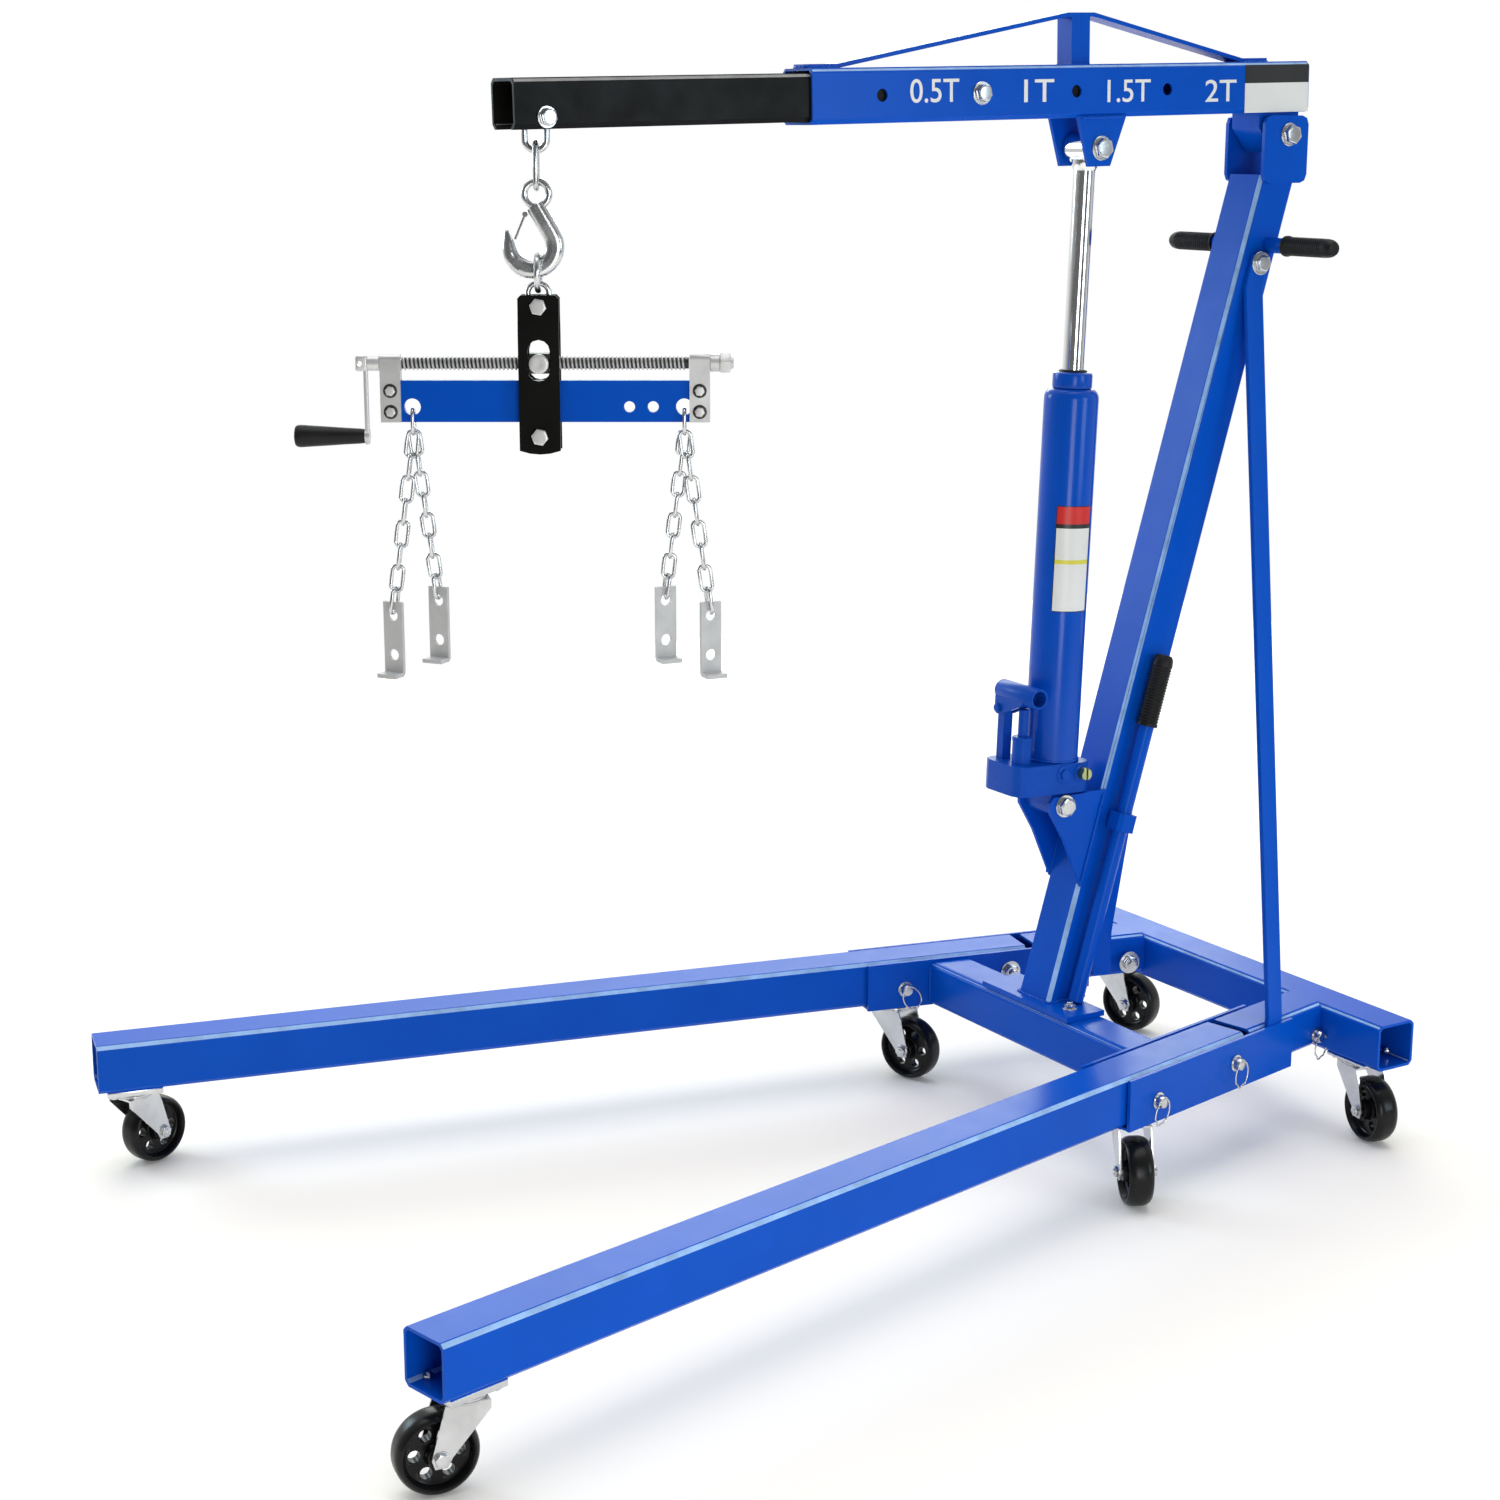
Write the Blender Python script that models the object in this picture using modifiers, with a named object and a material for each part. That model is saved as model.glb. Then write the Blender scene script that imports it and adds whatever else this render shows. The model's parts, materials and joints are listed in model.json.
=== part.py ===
"""Folding engine hoist with a load leveler on its hook.

Metres, +Z up, +X along the boom, +Y to the hoist's left. The floor is z = 0.
"""

from math import asin, cos, hypot, pi, radians, sin, tan

import bmesh
import bpy
from mathutils import Matrix, Vector

# Fits
GAP = 0.0003
PIN_PLAY = 0.0003
WELD = 0.0006
SEAM = 0.00001
ROD_TURN = radians(4)
SHARP = radians(35)
LINK_PLAY = 0.0014
RING_PLAY = 0.0018

# Base frame
BASE_HEIGHT = 0.118
BASE_TUBE = 0.068
BASE_WALL = 0.004
REAR_HALF_LENGTH = 0.344
MAST_FOOT_X = -0.4086
REAR_TUBE_BACK = 0.3534
CROSS_TUBE_AHEAD = 0.0136
TUBE_CORNER = 0.006

# Legs and their side channels
LEG_TUBE = 0.070
LEG_WALL = 0.004
LEG_SPLAY = radians(12.35)
LEG_LENGTH = 1.4055
LEG_HEEL_BACK = 0.15638
LEG_HEEL_Y = 0.24039
LEG_PIVOT_INSET = 0.030
CHANNEL_HALF_GAP = 0.038
CHANNEL_PLATE = 0.005
CHANNEL_HEIGHT = 0.072
CHANNEL_AHEAD = 0.2655
CHANNEL_BEHIND = 0.1055
WEB_LENGTH = 0.150
WEB_PLATE = 0.004
STUB_CLEARANCE = 0.020
STUB_HEIGHT = 0.064
STUB_WALL = 0.004
PIVOT_BOLT_RADIUS = 0.008
PIVOT_BOLT_HEAD = 0.014
PIVOT_BOLT_HEAD_HEIGHT = 0.009

# Stays
STAY_WIDTH = 0.032
STAY_THICK = 0.008
STAY_TOP_DROP = 0.187
STAY_TAB = 0.045
STAY_LEFT_BEHIND = 0.0695
STAY_RIGHT_BEHIND = 0.1295
STAY_BEND_ABOVE = 0.012
STAY_FOOT_ABOVE = 0.014

# Mast
MAST_WIDTH = 0.0712
MAST_DEPTH = 0.065
MAST_WALL = 0.004
MAST_LEAN = radians(16.31)
MAST_TOP_DROP = 0.055
FOOT_PLATE = 0.008
FOOT_HALF_WIDTH = 0.100
CHEEK_PLATE = 0.006
CHEEK_INNER = 0.0352
CHEEK_FRONT = 0.045
CHEEK_BACK = 0.036
CHEEK_ABOVE = 0.0262
CHEEK_BELOW = 0.067
CHEEK_CORNER = 0.012
EAR_ABOVE = 0.0145
EAR_BELOW = 0.125
EAR_HIP = 0.050
EAR_NOSE = 0.026
EAR_NOSE_HALF = 0.007

# Push bar
PUSH_BAR_RADIUS = 0.011
PUSH_BAR_DROP = 0.153
PUSH_BAR_BACK = 0.013
PUSH_BAR_HALF = 0.165
GRIP_LENGTH = 0.092
GRIP_RADIUS = 0.016
GRIP_FLANGE = 0.003
GRIP_GROOVE = 0.0015
GRIP_RIBS = 3
GRIP_SIDES = 8

# Boom and its extension
PIVOT_HEIGHT = 1.4149
PIVOT_AHEAD = 0.0065
PIVOT_RADIUS = 0.010
PIVOT_BELOW_BOOM = 0.0305
BOOM_DROOP = radians(1.256)
BOOM_TUBE = 0.0696
BOOM_WALL = 0.0032
BOOM_BACK = 0.040
BOOM_REACH = 0.795
PIVOT_HEAD = 0.016
PIVOT_HEAD_HEIGHT = 0.012
LUG_BACK = 0.028
LUG_FRONT = 0.045
LUG_BELOW = 0.024
LUG_CLEARANCE = 0.007
LOCK_HOLE_FIRST = 0.689
LOCK_HOLE_PITCH = 0.157
LOCK_HOLE_COUNT = 4
LOCK_HOLE_RADIUS = 0.008
LOCK_HOLE_SIDES = 8
STRAP_WIDTH = 0.032
STRAP_THICK = 0.005
STRAP_RISE = 0.062
STRAP_FLAT = 0.045
STRAP_REAR = 0.068
STRAP_INSET = 0.005
POST_SIDE = 0.031
POST_PLACE = 0.354
EXTENSION_TUBE = 0.060
EXTENSION_WALL = 0.004
EXTENSION_LENGTH = 0.922
EXTENSION_PAST_BOLT = 0.0425
HOOK_BOLT_REACH = 1.1675
HOOK_BOLT_RISE = 0.014
HOOK_BOLT_RADIUS = 0.006
HOOK_BOLT_HEAD = 0.011
HOOK_BOLT_HEAD_HEIGHT = 0.008
TIP_SLOT_HALF = 0.020
TIP_SLOT_BACK = 0.052

# Ram and hand pump
RAM_HEAD_REACH = 0.331
RAM_HEAD_DROP = 0.0101
RAM_ANCHOR_AHEAD = 0.0665
RAM_ANCHOR_HEIGHT = 0.4868
RAM_BOLT_RADIUS = 0.008
RAM_BOLT_HEAD = 0.014
RAM_BOLT_HEAD_HEIGHT = 0.010
HEAD_EAR_INNER = 0.0275
HEAD_EAR_BACK = 0.043
HEAD_EAR_FRONT = 0.040
HEAD_EAR_BELOW = 0.034
LUG_PLATE = 0.006
CYLINDER_RADIUS = 0.038
CYLINDER_BORE = 0.025
CYLINDER_TOP = 0.587
BLOCK_BOTTOM = 0.019
BLOCK_TOP = 0.062
BLOCK_BACK = 0.044
BLOCK_FRONT = 0.086
BLOCK_RIGHT = 0.047
BLOCK_LEFT = 0.040
BLOCK_CORNER = 0.016
KNUCKLE_RADIUS = 0.018
KNUCKLE_CLEARANCE = 0.002
GLAND_RADIUS = 0.0275
GLAND_HEIGHT = 0.022
ROD_RADIUS = 0.015
ROD_LENGTH = 0.665
ROD_EYE_RADIUS = 0.021
ROD_EYE_HALF = 0.024
PUMP_AHEAD = 0.062
PLUNGER_SIDE = 0.012
PLUNGER_RADIUS = 0.007
BARREL_RADIUS = 0.013
BARREL_TOP = 0.100
FULCRUM_SIDE = -0.030
FULCRUM_RISE = 0.136
SOCKET_RISE = 0.160
SOCKET_RADIUS = 0.014
SOCKET_BORE = 0.0115
SOCKET_FROM = -0.040
SOCKET_TO = 0.046
SOCKET_SOLID = 0.030
BARREL_DEPTH = 0.014
POST_HALF = 0.0075
POST_THICK = 0.014
POST_ABOVE = 0.006
LEVER_PIN_RADIUS = 0.004
LEVER_PIN_HALF = 0.016
LEVER_EAR = 0.005
LEVER_EAR_EDGE = 0.009
VALVE_BACK = 0.024
VALVE_RISE = 0.047
VALVE_STEM = 0.005
VALVE_DEPTH = 0.012
VALVE_HEAD = 0.0085
VALVE_PROUD = 0.015
VALVE_SLOT = 0.0032

# Pump handle stored on the mast
HANDLE_RADIUS = 0.011
HANDLE_STANDOFF = 0.0085
HANDLE_LENGTH = 0.505
HANDLE_WALL = 0.002
HANDLE_GRIP = 0.095
HANDLE_GRIP_RADIUS = 0.0135
HANDLE_KNOB_RADIUS = 0.018
CLIP_HEIGHT = 0.455
CLIP_HALF = 0.013
CLIP_WALL = 0.0045
CLIP_PLAY = 0.001
CLIP_TAB = 0.020

# Casters
WHEEL_RADIUS = 0.0475
WHEEL_HALF_WIDTH = 0.0185
WHEEL_BORE = 0.0053
WHEEL_HOLES = 6
WHEEL_HOLE_RADIUS = 0.008
WHEEL_HUB = 0.0135
WHEEL_RIM = 0.011
WHEEL_WEB = 0.006
CASTER_TRAIL = 0.032
AXLE_RADIUS = 0.005
FORK_PLATE = 0.003
PAD_PLATE = 0.004
FRONT_CASTER_ALONG = 0.050
MIDDLE_CASTER_AHEAD = 0.2055
REAR_CASTER_Y = 0.278
PAD_LENGTH = 0.076
PAD_WIDTH = 0.060
RACE_RADIUS = 0.026
RACE_HEIGHT = 0.007
FORK_CLEARANCE = 0.0022
CROWN_LENGTH = 0.048

# Hook and chain links
TACKLE_YAW = radians(31.6)
LINK_WIRE = 0.004
LOWER_WIRE = 0.0035
UPPER_LINK_DROP = 0.043
UPPER_LINK_WIDTH = 0.035
LOWER_LINK_WIDTH = 0.026
HANGER_LINK_WIDTH = 0.033
HOOK_EYE_DROP = 0.090
HOOK_EYE_RADIUS = 0.0149
HOOK_EYE_WIRE = 0.0042
HOOK_NECK_AHEAD = 0.0025
HOOK_NECK_DROP = 0.1035
HOOK_BACK_START = radians(-31)
HOOK_BOWL_AHEAD = 0.0065
HOOK_BOWL_DROP = 0.152
HOOK_BOWL_RADIUS = 0.0275
HOOK_BOWL_END = radians(172)
HOOK_BOWL_STEPS = 9
HOOK_HALF = 0.0113
HOOK_SLIM_FROM = 0.75
HOOK_LIP_HALF = 0.0087
HOOK_TIP_RISE = 0.0235
HOOK_TIP_HALF = 0.0024
HOOK_FLATNESS = 0.75
LATCH_RADIUS = 0.0032
LATCH_HALF = 0.006
LATCH_THICK = 0.0026
LATCH_END_AHEAD = 0.0268
LATCH_END_DROP = 0.1435
RING_WIRE = 0.004

# Load leveler
HANGER_TOP = 0.2095
HANGER_TOP_BOLT = 0.014
HANGER_HALF_WIDTH = 0.025
HANGER_HEIGHT = 0.1925
HANGER_CORNER = 0.004
HANGER_BOW = 0.0045
HANGER_BOW_STEPS = 2
HANGER_LOW_BOLT = 0.0215
PINCH_GAP = 0.007
PINCH_FROM = 0.0445
PINCH_TO = 0.021
WINDOW_WIDTH = 0.027
WINDOW_HEIGHT = 0.050
WINDOW_RISE = 0.004
HANGER_GAP = 0.011
HANGER_PLATE = 0.005
HANGER_BOLT_RADIUS = 0.005
HANGER_BOLT_PROUD = 0.006
BAR_LENGTH = 0.4025
BAR_SHIFT = 0.0065
BAR_HEIGHT = 0.0506
BAR_THICK = 0.010
BAR_TOP_DROP = 0.3128
SCREW_DROP = 0.292
SCREW_RADIUS = 0.007
NUT_SIDE = 0.024
NUT_END_RADIUS = 0.0105
BRACKET_LENGTH = 0.025
BRACKET_PLATE = 0.004
BRACKET_CREST = 0.011
SCREW_TAIL = 0.027
TAIL_NUT_RADIUS = 0.0135
TAIL_NUT_LENGTH = 0.014
COLLAR_RADIUS = 0.0105
COLLAR_LENGTH = 0.0117
SLEEVE_RADIUS = 0.0095
SLEEVE_LENGTH = 0.015
CRANK_OUT = 0.018
CRANK_DROP = 0.089
CRANK_WIDTH = 0.016
CRANK_PLATE = 0.006
CRANK_GRIP_LENGTH = 0.086
CRANK_GRIP_RADIUS = 0.0135
SPINDLE_RADIUS = 0.004
EYE_INSET = 0.0385
EYE_SHIFT = 0.007
EYE_BELOW = 0.032
EYE_RADIUS = 0.010
SPARE_RADIUS = 0.0065
SPARE_PLACES = 0.038, 0.067
CHAIN_WIRE = 0.0024
CHAIN_LINKS = 8
CHAIN_LINK_WIDTH = 0.019
CHAIN_BITE = 0.0005
MASTER_SAG = 0.005
MASTER_LENGTH = 0.036
MASTER_PLAY = 0.003
STRAND_OUTER = 0.031
STRAND_INNER = 0.025
STRAND_LONG = 0.222
STRAND_SHORT = 0.204
STRAND_SIDE = 0.0032
BRACKET_HOLE = 0.007
BRACKET_RIDE = 0.0049
BRACKET_WIDTH = 0.027
BRACKET_THICK = 0.005
BRACKET_ABOVE = 0.017
BRACKET_BELOW = 0.077
BRACKET_LOW_HOLE = 0.050
BRACKET_FOOT = 0.021
BRACKET_BEND = 0.004
BRACKET_TURN = radians(25)

X, Y, Z = Vector((1, 0, 0)), Vector((0, 1, 0)), Vector((0, 0, 1))

# Places worked out from the sizes above
LEG_BOTTOM = BASE_HEIGHT + WEB_PLATE + GAP
LEG_MIDDLE = LEG_BOTTOM + LEG_TUBE / 2
BASE_TOP = BASE_HEIGHT + BASE_TUBE
REAR_TUBE_FRONT = MAST_FOOT_X - REAR_TUBE_BACK
CROSS_TUBE_FRONT = MAST_FOOT_X + CROSS_TUBE_AHEAD
LEG_REACH = LEG_LENGTH * cos(LEG_SPLAY) - LEG_HEEL_BACK
LEG_TIP_Y = LEG_HEEL_Y + LEG_LENGTH * sin(LEG_SPLAY)
LEG_PIVOT = LEG_LENGTH - LEG_PIVOT_INSET
CHANNEL_FRONT = LEG_LENGTH - CHANNEL_AHEAD
CHANNEL_BACK = LEG_LENGTH + CHANNEL_BEHIND
MIDDLE_CASTER_ALONG = LEG_LENGTH - MIDDLE_CASTER_AHEAD
EXTENSION_REACH = HOOK_BOLT_REACH + EXTENSION_PAST_BOLT
HANGER_BOLT_DROP = HANGER_TOP + HANGER_TOP_BOLT
MAST_UP = Vector((-sin(MAST_LEAN), 0, cos(MAST_LEAN)))
MAST_AHEAD = Vector((cos(MAST_LEAN), 0, sin(MAST_LEAN)))


def mast_point(height, ahead=0.0, side=0.0):
    """The point of the mast's middle line at this height, moved forward and sideways."""
    foot = Vector((MAST_FOOT_X, 0, BASE_TOP)) - MAST_AHEAD * MAST_DEPTH / 2
    middle = foot + MAST_UP * ((height - foot.z) / MAST_UP.z)
    return middle + X * ahead + Y * side


BOOM_PIVOT = mast_point(PIVOT_HEIGHT, PIVOT_AHEAD)
BOOM_AHEAD = Vector((cos(BOOM_DROOP), 0, -sin(BOOM_DROOP)))
BOOM_UP = Vector((sin(BOOM_DROOP), 0, cos(BOOM_DROOP)))
EXTENSION_BOTTOM = PIVOT_BELOW_BOOM + BOOM_WALL + 2 * GAP


def boom_point(reach, rise, side=0.0):
    """A point of the boom, measured from its pivot."""
    return BOOM_PIVOT + BOOM_AHEAD * reach + BOOM_UP * rise + Y * side


RAM_HEAD = boom_point(RAM_HEAD_REACH, -RAM_HEAD_DROP)
RAM_ANCHOR = mast_point(RAM_ANCHOR_HEIGHT, RAM_ANCHOR_AHEAD + MAST_DEPTH / 2 / cos(MAST_LEAN))
RAM_UP = (RAM_HEAD - RAM_ANCHOR).normalized()
RAM_AHEAD = Y.cross(RAM_UP)


def ram_point(ahead, side, rise):
    """A point of the ram, measured from the bolt under it."""
    return RAM_ANCHOR + RAM_AHEAD * ahead + Y * side + RAM_UP * rise


LEVER_PIN = ram_point(PUMP_AHEAD, FULCRUM_SIDE, FULCRUM_RISE)
VALVE = ram_point(-VALVE_BACK, BLOCK_LEFT, VALVE_RISE)
HOOK_BOLT = boom_point(HOOK_BOLT_REACH, EXTENSION_BOTTOM + HOOK_BOLT_RISE)
TACKLE_AHEAD = Vector((cos(TACKLE_YAW), -sin(TACKLE_YAW), 0))
TACKLE_SIDE = Vector((sin(TACKLE_YAW), cos(TACKLE_YAW), 0))


BAR_REAR = -BAR_SHIFT - BAR_LENGTH / 2
BAR_FRONT = -BAR_SHIFT + BAR_LENGTH / 2
EYE_REAR = BAR_REAR + EYE_INSET - EYE_SHIFT
EYE_FRONT = BAR_FRONT - EYE_INSET
EYE_DROP = BAR_TOP_DROP + EYE_BELOW


def tackle_point(ahead, side, drop):
    """A point of what hangs on the hook bolt, measured from the bolt down."""
    return HOOK_BOLT + TACKLE_AHEAD * ahead + TACKLE_SIDE * side - Z * drop


def leg_point(hand, along, out, height):
    """A point of a leg's side: along is measured back from the tip, out from the middle line."""
    ahead = Vector((cos(LEG_SPLAY), hand * sin(LEG_SPLAY), 0))
    outward = Vector((-sin(LEG_SPLAY), hand * cos(LEG_SPLAY), 0))
    tip = Vector((MAST_FOOT_X + LEG_REACH, hand * LEG_TIP_Y, height))
    return tip - ahead * along + outward * out


def leg_axes(hand):
    """Unit vectors of a leg: ahead and outward."""
    near = leg_point(hand, 1, 0, 0)
    return leg_point(hand, 0, 0, 0) - near, leg_point(hand, 1, 1, 0) - near


# Materials: colour, roughness, metallic
PAINT = (0.010, 0.090, 0.560), 0.30, 0.0
BLACK_PAINT = (0.012, 0.012, 0.013), 0.38, 0.0
RUBBER = (0.015, 0.015, 0.016), 0.55, 0.0
ZINC = (0.62, 0.64, 0.66), 0.35, 1.0
CHROME = (0.80, 0.81, 0.82), 0.08, 1.0
STEEL = (0.45, 0.46, 0.47), 0.42, 1.0
BRASS = (0.55, 0.56, 0.30), 0.40, 1.0


# Shapes
def frame_of(origin, across, up, through):
    """The matrix that lays local X, Y and Z along three directions from origin."""
    return Matrix.Translation(origin) @ Matrix((across, up, through)).transposed().to_4x4()


def shown(name, data):
    """A new object in the scene."""
    item = bpy.data.objects.new(name, data)
    bpy.context.scene.collection.objects.link(item)
    return item


def placed(work, place):
    """An object from an edited mesh, laid in its place with its faces turned outward."""
    bmesh.ops.transform(work, matrix=place, verts=work.verts)
    bmesh.ops.recalc_face_normals(work, faces=work.faces)
    mesh = bpy.data.meshes.new("shape")
    work.to_mesh(mesh)
    work.free()
    return shown("shape", mesh)


def welded(maker):
    """The mesh that a curve or an object's modifiers make, with its seams welded."""
    bpy.context.view_layer.update()
    seen = maker.evaluated_get(bpy.context.evaluated_depsgraph_get())
    mesh = bpy.data.meshes.new_from_object(seen)
    bpy.data.objects.remove(maker)
    work = bmesh.new()
    work.from_mesh(mesh)
    bmesh.ops.remove_doubles(work, verts=work.verts, dist=SEAM)
    bpy.data.meshes.remove(mesh)
    return work


def add_run(curve, points, closed):
    """Adds straight pieces through flat points to a curve."""
    run = curve.splines.new("POLY")
    run.points.add(len(points) - 1)
    for spot, (across, up) in zip(run.points, points):
        spot.co = across, up, 0, 1
    run.use_cyclic_u = closed
    return run


def rounded(width, height, corner, steps=2):
    """The outline of a rectangle about the origin with rounded corners."""
    outline = []
    for quarter, (across, up) in enumerate(((1, 1), (-1, 1), (-1, -1), (1, -1))):
        centre = across * (width / 2 - corner), up * (height / 2 - corner)
        for step in range(steps + 1):
            angle = (quarter + step / steps) * pi / 2
            outline.append((centre[0] + corner * cos(angle), centre[1] + corner * sin(angle)))
    return outline


def extrude(outline, origin, across, up, depth, hole=None):
    """A flat outline, less its hole, laid at origin along across and up and drawn out by depth."""
    curve = bpy.data.curves.new("outline", "CURVE")
    curve.dimensions = "2D"
    curve.fill_mode = "BOTH"
    curve.extrude = depth.length / 2
    add_run(curve, outline, True)
    if hole:
        add_run(curve, hole, True)
    place = frame_of(origin + depth / 2, across, up, depth.normalized())
    return placed(welded(shown("outline", curve)), place)


def block(centre, size, axes=(X, Y, Z)):
    """A box about centre, with its size along three axes."""
    work = bmesh.new()
    bmesh.ops.create_cube(work, size=1, matrix=Matrix.Diagonal((*size, 1)))
    return placed(work, frame_of(centre, *axes))


def box_tube(start, end, across, up, width, height, wall, corner=TUBE_CORNER):
    """An open rectangular tube between two points of its middle line."""
    inside = rounded(width - 2 * wall, height - 2 * wall, corner - wall / 2, 1)
    return extrude(rounded(width, height, corner, 1), start, across, up, end - start, inside)


def mitre(tube, place, outward):
    """Saws a tube off at a plane and closes the cut through its wall."""
    work = bmesh.new()
    work.from_mesh(tube.data)
    whole = [*work.verts, *work.edges, *work.faces]
    sawn = bmesh.ops.bisect_plane(work, geom=whole, plane_co=place, plane_no=outward, clear_outer=True)
    rims = [item for item in sawn["geom_cut"] if isinstance(item, bmesh.types.BMEdge)]
    bmesh.ops.bridge_loops(work, edges=rims)
    bmesh.ops.recalc_face_normals(work, faces=work.faces)
    work.to_mesh(tube.data)
    work.free()
    return tube


def joggled(sheet, low, high, shift):
    """Bends a standing plate between two heights, so that its upper part is offset by shift."""
    work = bmesh.new()
    work.from_mesh(sheet.data)
    for height in (low, high):
        whole = [*work.verts, *work.edges, *work.faces]
        bmesh.ops.bisect_plane(work, geom=whole, plane_co=Z * height, plane_no=Z)
    upper = [corner for corner in work.verts if corner.co.z > high - SEAM]
    bmesh.ops.translate(work, verts=upper, vec=shift)
    work.to_mesh(sheet.data)
    work.free()
    return sheet


def about(origin, axis, first=None):
    """The matrix that lays local Z along an axis, and local X along first if it is given."""
    axis = axis.normalized()
    first = first or axis.orthogonal().normalized()
    return frame_of(origin, first, axis.cross(first).normalized(), axis)


def turned(profile, origin, axis, sides, closed=False, first=None):
    """A lathe form: profile holds (radius, distance along the axis). An open one ends on the axis."""
    if not closed:
        profile = [(0, profile[0][1]), *profile, (0, profile[-1][1])]
    edges = [(point, point + 1) for point in range(len(profile) - 1)]
    if closed:
        edges.append((len(profile) - 1, 0))
    mesh = bpy.data.meshes.new("profile")
    mesh.from_pydata([(radius, 0, far) for radius, far in profile], edges, [])
    lathe = shown("profile", mesh)
    screw = lathe.modifiers.new("turn", "SCREW")
    screw.steps = screw.render_steps = sides
    screw.use_merge_vertices = True
    screw.merge_threshold = SEAM
    return placed(welded(lathe), about(origin, axis, first))


def rod(start, end, radius, sides=12):
    """A round bar between two points."""
    work = bmesh.new()
    length = (end - start).length
    turn = Matrix.Rotation(ROD_TURN - pi / 2, 4, "Z")
    size = {"radius1": radius, "radius2": radius, "depth": length}
    bmesh.ops.create_cone(work, cap_ends=True, segments=sides, matrix=turn, **size)
    return placed(work, about((start + end) / 2, end - start))


def turning_bore(radius, sides=12):
    """The radius of a bore whose flats clear the corners of a shank that turns in it."""
    return radius / cos(pi / sides) + PIN_PLAY


def swept(path, radii, normal, sides, closed, flatness=1.0):
    """A wire along a flat path with a radius at each point. flatness thins it along the normal."""
    ahead = (path[1] - path[0]).normalized()
    place = frame_of(path[0], ahead, normal.cross(ahead), normal)
    laid = place.inverted()
    curve = bpy.data.curves.new("wire", "CURVE")
    curve.dimensions = "3D"
    curve.twist_mode = "Z_UP"
    curve.fill_mode = "FULL"
    curve.bevel_depth = radii[0]
    curve.bevel_resolution = sides // 2 - 2
    curve.use_fill_caps = not closed
    run = add_run(curve, [(laid @ point).to_2d() for point in path], closed)
    for spot, radius in zip(run.points, radii):
        spot.radius = radius / radii[0]
        spot.tilt = pi / sides
    return placed(welded(shown("wire", curve)), place @ Matrix.Diagonal((1, 1, flatness, 1)))


def ring(centre, across, up, radius, wire, points):
    """A closed round ring of wire."""
    angles = [2 * pi * point / points for point in range(points)]
    path = [centre + (across * cos(angle) + up * sin(angle)) * radius for angle in angles]
    return swept(path, [wire] * points, across.cross(up), 6, True)


def link(centre, along, across, length, width, wire, bends=3, sides=4):
    """A chain link: length and width are outer sizes."""
    bend = width / 2 - wire
    straight = length / 2 - wire - bend
    path = []
    for end in (1, -1):
        for step in range(bends + 1):
            angle = pi * step / bends
            reach = along * (straight + bend * sin(angle)) + across * bend * cos(angle)
            path.append(centre + end * reach)
    corner = wire / cos(pi / sides)
    return swept(path, [corner] * len(path), along.cross(across), sides, True)


def loft(rings):
    """A skin through rings of equal count, capped at both ends."""
    work = bmesh.new()
    loops = [[work.verts.new(point) for point in points] for points in rings]
    for here, there in zip(loops, loops[1:]):
        for corner in range(len(here)):
            work.faces.new((here[corner - 1], here[corner], there[corner], there[corner - 1]))
    work.faces.new(loops[0])
    work.faces.new(loops[-1])
    return placed(work, Matrix())


def bolt(start, end, radius, head, head_height, sides=8):
    """A bolt with a six-sided head before start and a nut past end."""
    axis = (end - start).normalized()
    shank = rod(start - axis * WELD, end + axis * WELD, radius, sides)
    tail = rod(end + axis * GAP, end + axis * (GAP + head_height), head, 6)
    top = rod(start - axis * (GAP + head_height), start - axis * GAP, head, 6)
    return join(shank, top, tail)


# Joining, cutting and naming
def apply_boolean(shape, tool, operation):
    """Runs one exact Boolean and takes the tool away."""
    modifier = shape.modifiers.new(operation.lower(), "BOOLEAN")
    modifier.operation = operation
    modifier.solver = "EXACT"
    modifier.object = tool
    bpy.context.view_layer.update()
    seen = shape.evaluated_get(bpy.context.evaluated_depsgraph_get())
    mesh = bpy.data.meshes.new_from_object(seen)
    shape.modifiers.clear()
    shape.data = mesh
    bpy.data.objects.remove(tool)
    return shape


def join(shape, *others):
    """One body from shapes that overlap."""
    for other in others:
        apply_boolean(shape, other, "UNION")
    return shape


def cut(shape, *tools):
    """The shape with the tools taken out of it."""
    for tool in tools:
        apply_boolean(shape, tool, "DIFFERENCE")
    return shape


def gathered(shapes):
    """Shapes that don't meet, as one mesh."""
    work = bmesh.new()
    for shape in shapes:
        work.from_mesh(shape.data)
        bpy.data.objects.remove(shape)
    mesh = bpy.data.meshes.new("group")
    work.to_mesh(mesh)
    work.free()
    return shown("group", mesh)


def finish(shape, name, origin, finish_of, carrier=None):
    """Names a part, moves its origin to its joint, gives it a material and hangs it on its carrier."""
    colour, roughness, metallic = finish_of
    material = bpy.data.materials.new(name)
    material.use_nodes = True
    shader = material.node_tree.nodes["Principled BSDF"]
    shader.inputs["Base Color"].default_value = (*colour, 1)
    shader.inputs["Roughness"].default_value = roughness
    shader.inputs["Metallic"].default_value = metallic
    shape.name = name
    shape.data.name = name
    shape.data.materials.clear()
    shape.data.materials.append(material)
    shape.data.transform(Matrix.Translation(-origin))
    shape.data.shade_smooth()
    shape.data.set_sharp_from_angle(angle=SHARP)
    shape.location = origin
    bpy.context.scene.collection.objects.unlink(shape)
    hoist.objects.link(shape)
    if carrier:
        shape.parent = hoist.objects[carrier]
        shape.matrix_parent_inverse = Matrix.Translation(-shape.parent.location)
    return shape


# Base frame
def caster_pad(centre, top, yaw_axes):
    """The plate over a caster, from the caster's top up into what carries it."""
    bottom = BASE_HEIGHT - PAD_PLATE
    middle = Vector((centre.x, centre.y, (bottom + top + WELD) / 2))
    return block(middle, (PAD_LENGTH, PAD_WIDTH, top + WELD - bottom), (*yaw_axes, Z))


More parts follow.
